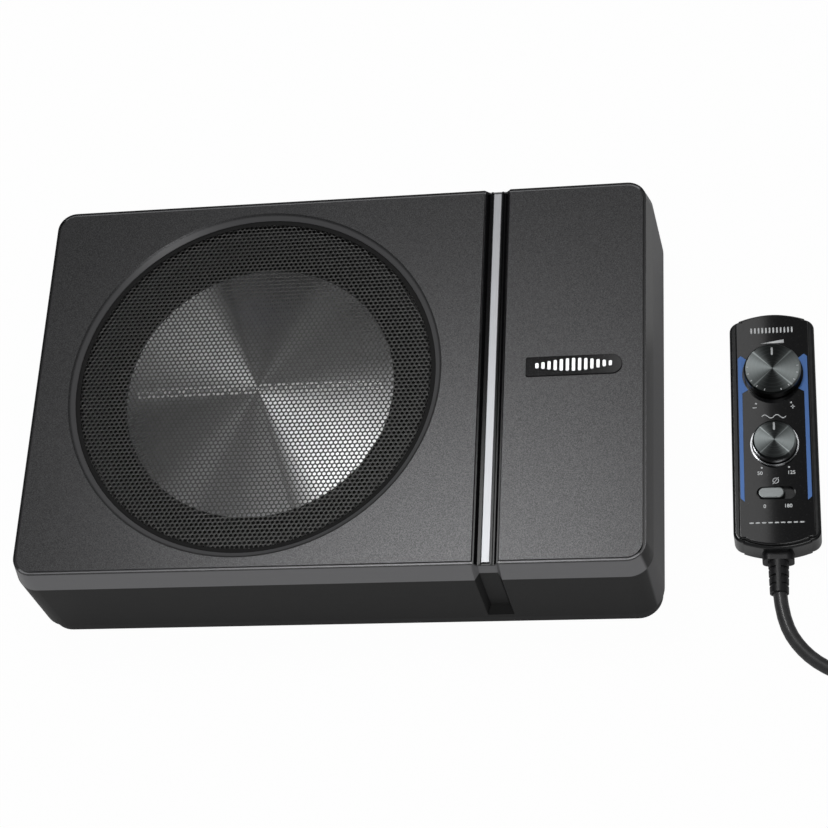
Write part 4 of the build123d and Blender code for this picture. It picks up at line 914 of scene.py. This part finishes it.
# ---- grille and driver ----
class SUB_OT_grille(Operator):
    """The perforated sheet, with every hole cut, and the dark ring it sits in."""

    bl_idname = "subwoofer.grille"
    bl_label = "Grille"

    def execute(self, context):
        sizes = context.scene.subwoofer_grille
        colours = context.scene.subwoofer_colours
        paint = metal("grille_enamel", tuple(colours.grille), 0.34, size=0.5, depth=0.03)
        low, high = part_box("grille")
        sheet = self.perforated(sizes, high.z - sizes.sheet, high.z)
        seat(sheet, paint, "case", "grille_paint", "grille")
        black = moulded("rim_black", (0.003, 0.003, 0.003), 0.8, 0.5, 0.2)
        base, top = low.z / MM - 0.05, high.z / MM + 0.05
        inner, outer = sizes.field / MM - 0.4, 103.5
        profile = [(inner, base), (outer, base), (outer, top), (inner, top)]
        rim = lathe("grille_rim", profile, DRIVER, 256)
        seat(rim, black, "case", "ring_plastic")
        dress(black, "grille_ring", "driver_gasket")
        return {"FINISHED"}

    def perforated(self, sizes, low, high):
        """A sheet of six-sided cells, each with a six-sided hole through it.

        Cell centres lie in rows one pitch apart, every second row shifted by half a pitch,
        rows pitch * sqrt(3) / 2 apart. Cells share their corners, and the walls of the holes
        and of the outer edge close the sheet.
        """
        pitch = sizes.pitch
        rise = pitch * math.sqrt(3) / 2
        reach = int(sizes.field / rise) + 2
        span = np.arange(-reach, reach + 1)
        row, column = np.meshgrid(span, span, indexing="ij")
        x = (column + 0.5 * (row % 2)) * pitch
        y = row * rise
        inside = np.hypot(x, y) < sizes.field
        centres = np.column_stack([x[inside], y[inside]])
        corner = math.radians(30) + np.arange(6) * TAU / 6
        spoke = np.column_stack([np.cos(corner), np.sin(corner)])
        outer = centres[:, None, :] + spoke * pitch / math.sqrt(3)
        grid = np.round(outer.reshape(-1, 2) / (0.01 * MM)).astype(np.int64)
        _, first, shared = np.unique(grid, axis=0, return_index=True, return_inverse=True)
        cell_points = outer.reshape(-1, 2)[first]
        cell = shared.reshape(-1, 6)
        rounder = 1.08  # a six-sided hole has about a round one's area when this much wider
        hole = centres[:, None, :] + spoke * sizes.hole / 2 * rounder
        hole_points = hole.reshape(-1, 2)
        bore = np.arange(len(hole_points)).reshape(-1, 6) + len(cell_points)
        flat = np.concatenate([cell_points, hole_points]) + (DRIVER.x, DRIVER.y)
        count = len(flat)
        points = np.concatenate([
            np.column_stack([flat, np.full(count, high)]),
            np.column_stack([flat, np.full(count, low)]),
        ])
        cell_next, bore_next = np.roll(cell, -1, 1), np.roll(bore, -1, 1)
        top = np.stack([cell, cell_next, bore_next, bore], 2).reshape(-1, 4)
        under = top[:, ::-1] + count
        wall = np.stack([bore, bore_next, bore_next + count, bore + count], 2).reshape(-1, 4)
        edge = np.stack([cell.ravel(), cell_next.ravel()], 1)
        _, where, times = np.unique(
            np.sort(edge, 1), axis=0, return_index=True, return_counts=True
        )
        rim = edge[where[times == 1]]
        side = np.column_stack([rim[:, 1], rim[:, 0], rim[:, 0] + count, rim[:, 1] + count])
        return mesh_piece("grille_sheet", points, np.concatenate([top, under, wall, side]))


class SUB_OT_driver(Operator):
    """The spun dome with its printed marks, the surround and the spider, and the parts behind."""

    bl_idname = "subwoofer.driver"
    bl_label = "Driver"

    def execute(self, context):
        colours = context.scene.subwoofer_colours
        low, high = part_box("cone_dome")
        rim, crown = low.z / MM + 1.0, high.z / MM + 0.4
        dome_r, thick = 75.0, 1.0
        share = np.linspace(0, 1, 40)
        upper = [(dome_r * s, crown - (crown - rim) * s * s) for s in share]
        under = [(r, z - thick) for r, z in reversed(upper)]
        dome = lathe("cone_spun", upper + under, DRIVER, 256, 40)
        # the dome's silver with painted highlights in two sectors and painted shade between them
        silver = spun(
            "spun_aluminium", tuple(colours.silver), DRIVER, 0.45, 0.9, dome_painted_highlights,
            links=(8.7 * MM, 69.6 * MM, 1.9 * MM, 0.9 * MM), sheen=0.85, dark=0.11,
        )
        seat(dome, silver, "cone", "dome_aluminium", "cone_dome")

        rubber = moulded("surround_rubber", (0.004, 0.004, 0.004), 0.85, 0.5, 0.2)
        low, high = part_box("surround")
        base, edge = low.z / MM, high.z / MM
        # a half wave between the flat inner lip and the flat outer one
        start, end, foot, bulge = 76.5, 86.0, 68.5, 3.2
        outer = [(75.3, base), (start, base)]
        outer += [
            (start + s * (end - start), base + s * (foot - base) + bulge * math.sin(math.pi * s))
            for s in np.linspace(0, 1, 28)[1:]
        ]
        outer += [(97.0, foot)]
        inner = [(r, z + thick) for r, z in reversed(outer)]
        roll = lathe("surround_roll", outer + inner, DRIVER, 192, 50)
        wear(roll, rubber)
        self.stretch(roll, "surround", ("cone", "case"), (base + 0.6, edge - 1.4))

        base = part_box("spider")[0].z / MM
        # five ripples, fading outwards, on a slope from the neck down to the outer lip
        neck, slope, fall, ripple = 22.6, 32.0, 5.3, 0.7
        crest = [(19.6, base + fall), (neck, base + fall)]
        crest += [
            (neck + slope * s,
             base + fall * (1 - s)
             + ripple * math.sin(10 * math.pi * s) * (1 - 0.6 * s) + 0.2 * s)
            for s in np.linspace(0, 1, 121)[1:]
        ]
        crest += [(62.5, base + 0.1)]
        upper = [(r, z + 0.6) for r, z in reversed(crest)]
        cloth = lathe("spider_cloth", crest + upper, DRIVER, 160, 60)
        wear(cloth, woven("spider_weave", (0.42, 0.30, 0.10), (0.66, 0.52, 0.24), 1.2))
        self.stretch(cloth, "spider", ("case", "cone"), (base + 0.3, base + fall))

        dress(moulded("cone_pulp", (0.03, 0.03, 0.03), 0.85, 0.8, 0.5), "cone_body")
        dress(moulded("basket_enamel", (0.03, 0.03, 0.031), 0.4, 0.8, 0.15), "basket")
        dress(metal("former_foil", (0.75, 0.75, 0.76), 0.3), "voice_coil_former")
        centre = (DRIVER.x, DRIVER.y, 0)
        dress(windings("voice_wire", (0.66, 0.30, 0.12), centre, 0.6), "voice_coil")
        dress(metal("plate_zinc", (0.60, 0.60, 0.61), 0.35), "top_plate", "yoke",
              "volume_shaft", "frequency_shaft")
        dress(moulded("ferrite", (0.045, 0.045, 0.047), 0.6, 1.2, 0.4), "magnet")
        return {"FINISHED"}

    def stretch(self, piece, node, bodies, heights):
        """Stands a piece for a node, which it hides, and sets the piece's place into its points;
        bodies and heights are not used.
        """
        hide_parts(node)
        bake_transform(piece)


# ---- terminals and amplifier ----
class SUB_OT_terminals(Operator):
    """Finishes of the sockets in the back wall."""

    bl_idname = "subwoofer.terminals"
    bl_label = "Terminals"

    def execute(self, context):
        dress(moulded("panel_grain", (0.035, 0.035, 0.036), 0.6, 0.7, 0.4), "terminal_panel")
        dress(moulded("nylon", (0.70, 0.68, 0.62), 0.5, 0.8, 0.15), "power_connector",
              "speaker_input_socket")
        dress(moulded("connector_black", (0.03, 0.03, 0.03), 0.45, 0.6, 0.2), "fuse_holder",
              "remote_socket")
        dress(glossy("fuse_amber", (0.80, 0.26, 0.03), 0.15), "blade_fuse")
        dress(metal("jack_gold", (0.83, 0.62, 0.24), 0.25), "rca_jacks")
        return {"FINISHED"}


class SUB_OT_amplifier(Operator):
    """Finishes of the parts inside the case."""

    bl_idname = "subwoofer.amplifier"
    bl_label = "Amplifier"

    def execute(self, context):
        mask = moulded("solder_mask", (0.015, 0.13, 0.045), 0.35, 1.0, 0.2, coat=0.3)
        dress(mask, "amp_board", "remote_board")
        choke = middle("toroid_choke")
        dress(windings("choke_wire", (0.64, 0.28, 0.10), choke, 0.9), "toroid_choke")
        dress(glossy("capacitor_sleeve", (0.02, 0.02, 0.03), 0.25), "filter_capacitors")
        dress(metal("sink_extrusion", (0.58, 0.59, 0.60), 0.4, (1.0, 1.0, 0.05)), "heat_sink")
        dress(moulded("transistor_body", (0.02, 0.02, 0.02), 0.55, 0.5, 0.3),
              "power_transistors")
        dress(metal("pot_tin", (0.55, 0.55, 0.54), 0.4), "volume_potentiometer",
              "frequency_potentiometer", "phase_switch")
        return {"FINISHED"}


# ---- remote control ----
class SUB_OT_remote(Operator):
    """Finishes of the remote control's shells, face, inlays, slider and strain relief."""

    bl_idname = "subwoofer.remote"
    bl_label = "Remote control"

    def execute(self, context):
        colours = context.scene.subwoofer_colours
        dress(moulded("remote_satin", (0.010, 0.0105, 0.011), 0.22, 0.4, 0.05),
              "remote_back_shell", "remote_front_shell")
        dress(glossy("remote_piano", (0.004, 0.004, 0.0045), 0.05), "remote_face")
        dress(metal("inlay_blue", tuple(colours.blue), 0.40, (1.0, 0.05, 1.0), 0.3, 0.05, 0.4),
              "blue_inlay_left", "blue_inlay_right")
        dress(metal("bezel_bright", (0.75, 0.76, 0.78), 0.15), "frequency_bezel")
        dress(metal("slider_grip", (0.16, 0.17, 0.17), 0.35, (0.1, 1.0, 1.0), 0.3, 0.1),
              "phase_slider")
        dress(moulded("relief_rubber", (0.012, 0.012, 0.013), 0.45, 0.45, 0.2), "strain_relief")
        return {"FINISHED"}


class SUB_OT_knobs(Operator):
    """Finishes of the two knobs, their pointers and the ticks round the volume knob."""

    bl_idname = "subwoofer.knobs"
    bl_label = "Knobs"

    def execute(self, context):
        ink = plain_print("knob_print", (0.55, 0.57, 0.58), 0.4)
        for node, body, centre, reach in (
            ("volume_knob", "volume", VOLUME, 12.2),
            ("frequency_knob", "frequency", FREQUENCY, 9.6),
        ):
            # the knob's colour with painted highlights in sectors and rays
            turned = spun("turned_" + node, (0.21, 0.23, 0.23), centre, 0.30, 0.5, knob_painted_highlights)
            dress(turned, node)
            line = capsule((0, reach - 3.6), (0, reach), 1.1)
            pointer = plate(node + "_pointer", [line], centre, top_of(node))
            seat(pointer, ink, body, "knob_gloss")
        tick_in, tick_out = 13.2, 13.9
        ticks = []
        for angle in np.radians([5, -13, -32, -51, -71, 175, 193, 212, 231, 251]):
            spoke = np.array([math.cos(angle), math.sin(angle)])
            ticks.append(capsule(tick_in * spoke, tick_out * spoke, 0.5))
        ring = plate("volume_knob_ticks", ticks, VOLUME, top_of("volume_knob"))
        seat(ring, ink, "volume", "knob_gloss")
        return {"FINISHED"}


class SUB_OT_marks(Operator):
    """Printed signs on the remote control's face: bars, a wedge, a wave, dots and digits."""

    bl_idname = "subwoofer.marks"
    bl_label = "Printed signs"

    def execute(self, context):
        ink = plain_print("face_print", (0.72, 0.74, 0.75), 0.45)
        shapes = [capsule((x, 57.2), (x, 59.8), 0.9) for x in np.linspace(-11, 11, 12)]
        shapes.append(np.array([(-6.5, 50.4), (6.5, 50.4), (6.5, 52.6)]))
        shapes += self.wave(5.9, 1.0)
        shapes += self.ring(-32.1, 1.5)
        shapes.append(capsule((-1.5, -33.9), (1.5, -30.3), 0.4))
        dots = ((-9.4, 13.8), (9.4, 13.8), (-7.2, -24.4), (7.2, -24.4))
        shapes += [capsule((x, y), (x, y + 0.02), 1.1) for x, y in dots]
        shapes += [capsule((x, 11.4), (x + 2.0, 11.4), 0.5) for x in (-11.2, 9.2)]
        shapes.append(capsule((10.2, 10.4), (10.2, 12.4), 0.5))
        shapes += [capsule((x, -56.3), (x + 1.6, -56.3), 0.8) for x in np.linspace(-14, 12.4, 9)]
        signs = plate("face_signs", shapes, REMOTE, FACE_Z)
        seat(signs, ink, "remote", "remote_gloss")
        for name, words, x, y in (
            ("low", "50", -8.2, -27.6), ("high", "125", 8.4, -27.6),
            ("none", "0", -6.1, -46.9), ("half_turn", "180", 6.2, -46.9),
        ):
            digits = self.digits("face_digits_" + name, words, x, y)
            seat(digits, ink, "remote", "remote_gloss")
        return {"FINISHED"}

    def wave(self, y, tall):
        """Two periods of a sine as one ribbon: the line (x, y + tall * sin), moved up and down."""
        half_long, half_wide = 6.5, 0.28
        x = np.linspace(-half_long, half_long, 49)
        line = y + tall * np.sin(TAU * x / half_long)
        ribbon = []
        for k in range(0, len(x) - 1, 2):
            part = slice(k, k + 3)
            lower = np.column_stack([x[part], line[part] - half_wide])
            upper = np.column_stack([x[part], line[part] + half_wide])
            ribbon.append(np.concatenate([lower, upper[::-1]]))
        return ribbon

    def ring(self, y, radius):
        """A thin ring in twelve pieces, each between two arcs about its middle."""
        turns = np.linspace(0, TAU, 13)
        parts = []
        for start, end in zip(turns[:-1], turns[1:]):
            arc = np.linspace(start, end, 3)
            side = np.column_stack([np.cos(arc), np.sin(arc)])
            parts.append(
                np.concatenate([side * (radius + 0.2), side[::-1] * (radius - 0.2)]) + (0, y)
            )
        return parts

    def digits(self, name, words, x, y):
        """Digits as a thin mesh on the face, about a point in millimetres from its middle."""
        curve = bpy.data.curves.new(name, "FONT")
        curve.body = words
        curve.size = 2.9 * MM
        curve.extrude = 0.02 * MM
        curve.offset = 0.03 * MM
        curve.align_x, curve.align_y = "CENTER", "CENTER"
        holder = bpy.data.objects.new(name, curve)
        mesh = bpy.data.meshes.new_from_object(holder)
        bpy.data.objects.remove(holder)
        place = (REMOTE.x + x * MM, REMOTE.y + y * MM, FACE_Z + 0.01 * MM)
        mesh.transform(Matrix.Translation(place))
        return tidy(added(name, mesh))


# ---- panel ----
class SUB_PT_panel(Panel):
    """Lists the pieces and their sizes."""

    bl_idname = "SUB_PT_panel"
    bl_label = "Car subwoofer"
    bl_space_type = "VIEW_3D"
    bl_region_type = "UI"
    bl_category = "Subwoofer"

    def draw(self, context):
        layout = self.layout
        for name in GROUPS:
            group = getattr(context.scene, name)
            box = layout.box()
            for key in group.__annotations__:
                box.prop(group, key)
        for operator in OPERATORS:
            layout.operator(operator.bl_idname)


GROUPS = {
    "subwoofer_stage": StageSizes,
    "subwoofer_cord": CordSizes,
    "subwoofer_case": CaseSizes,
    "subwoofer_grille": GrilleSizes,
    "subwoofer_colours": Colours,
}
OPERATORS = (
    SUB_OT_stage,
    SUB_OT_lead,
    SUB_OT_case,
    SUB_OT_trim,
    SUB_OT_grille,
    SUB_OT_driver,
    SUB_OT_terminals,
    SUB_OT_amplifier,
    SUB_OT_remote,
    SUB_OT_knobs,
    SUB_OT_marks,
)


def register():
    """Registers the classes and hangs their settings on the scene."""
    for kind in (*GROUPS.values(), *OPERATORS, SUB_PT_panel):
        bpy.utils.register_class(kind)
    for name, kind in GROUPS.items():
        setattr(bpy.types.Scene, name, PointerProperty(type=kind))


def unregister():
    """Takes the settings and classes away again."""
    for name in GROUPS:
        delattr(bpy.types.Scene, name)
    for kind in (SUB_PT_panel, *reversed(OPERATORS), *GROUPS.values()):
        bpy.utils.unregister_class(kind)


def main():
    """Builds every piece in order."""
    register()
    for operator in OPERATORS:
        getattr(bpy.ops.subwoofer, operator.bl_idname.split(".")[1])()


if __name__ == "__main__":
    main()
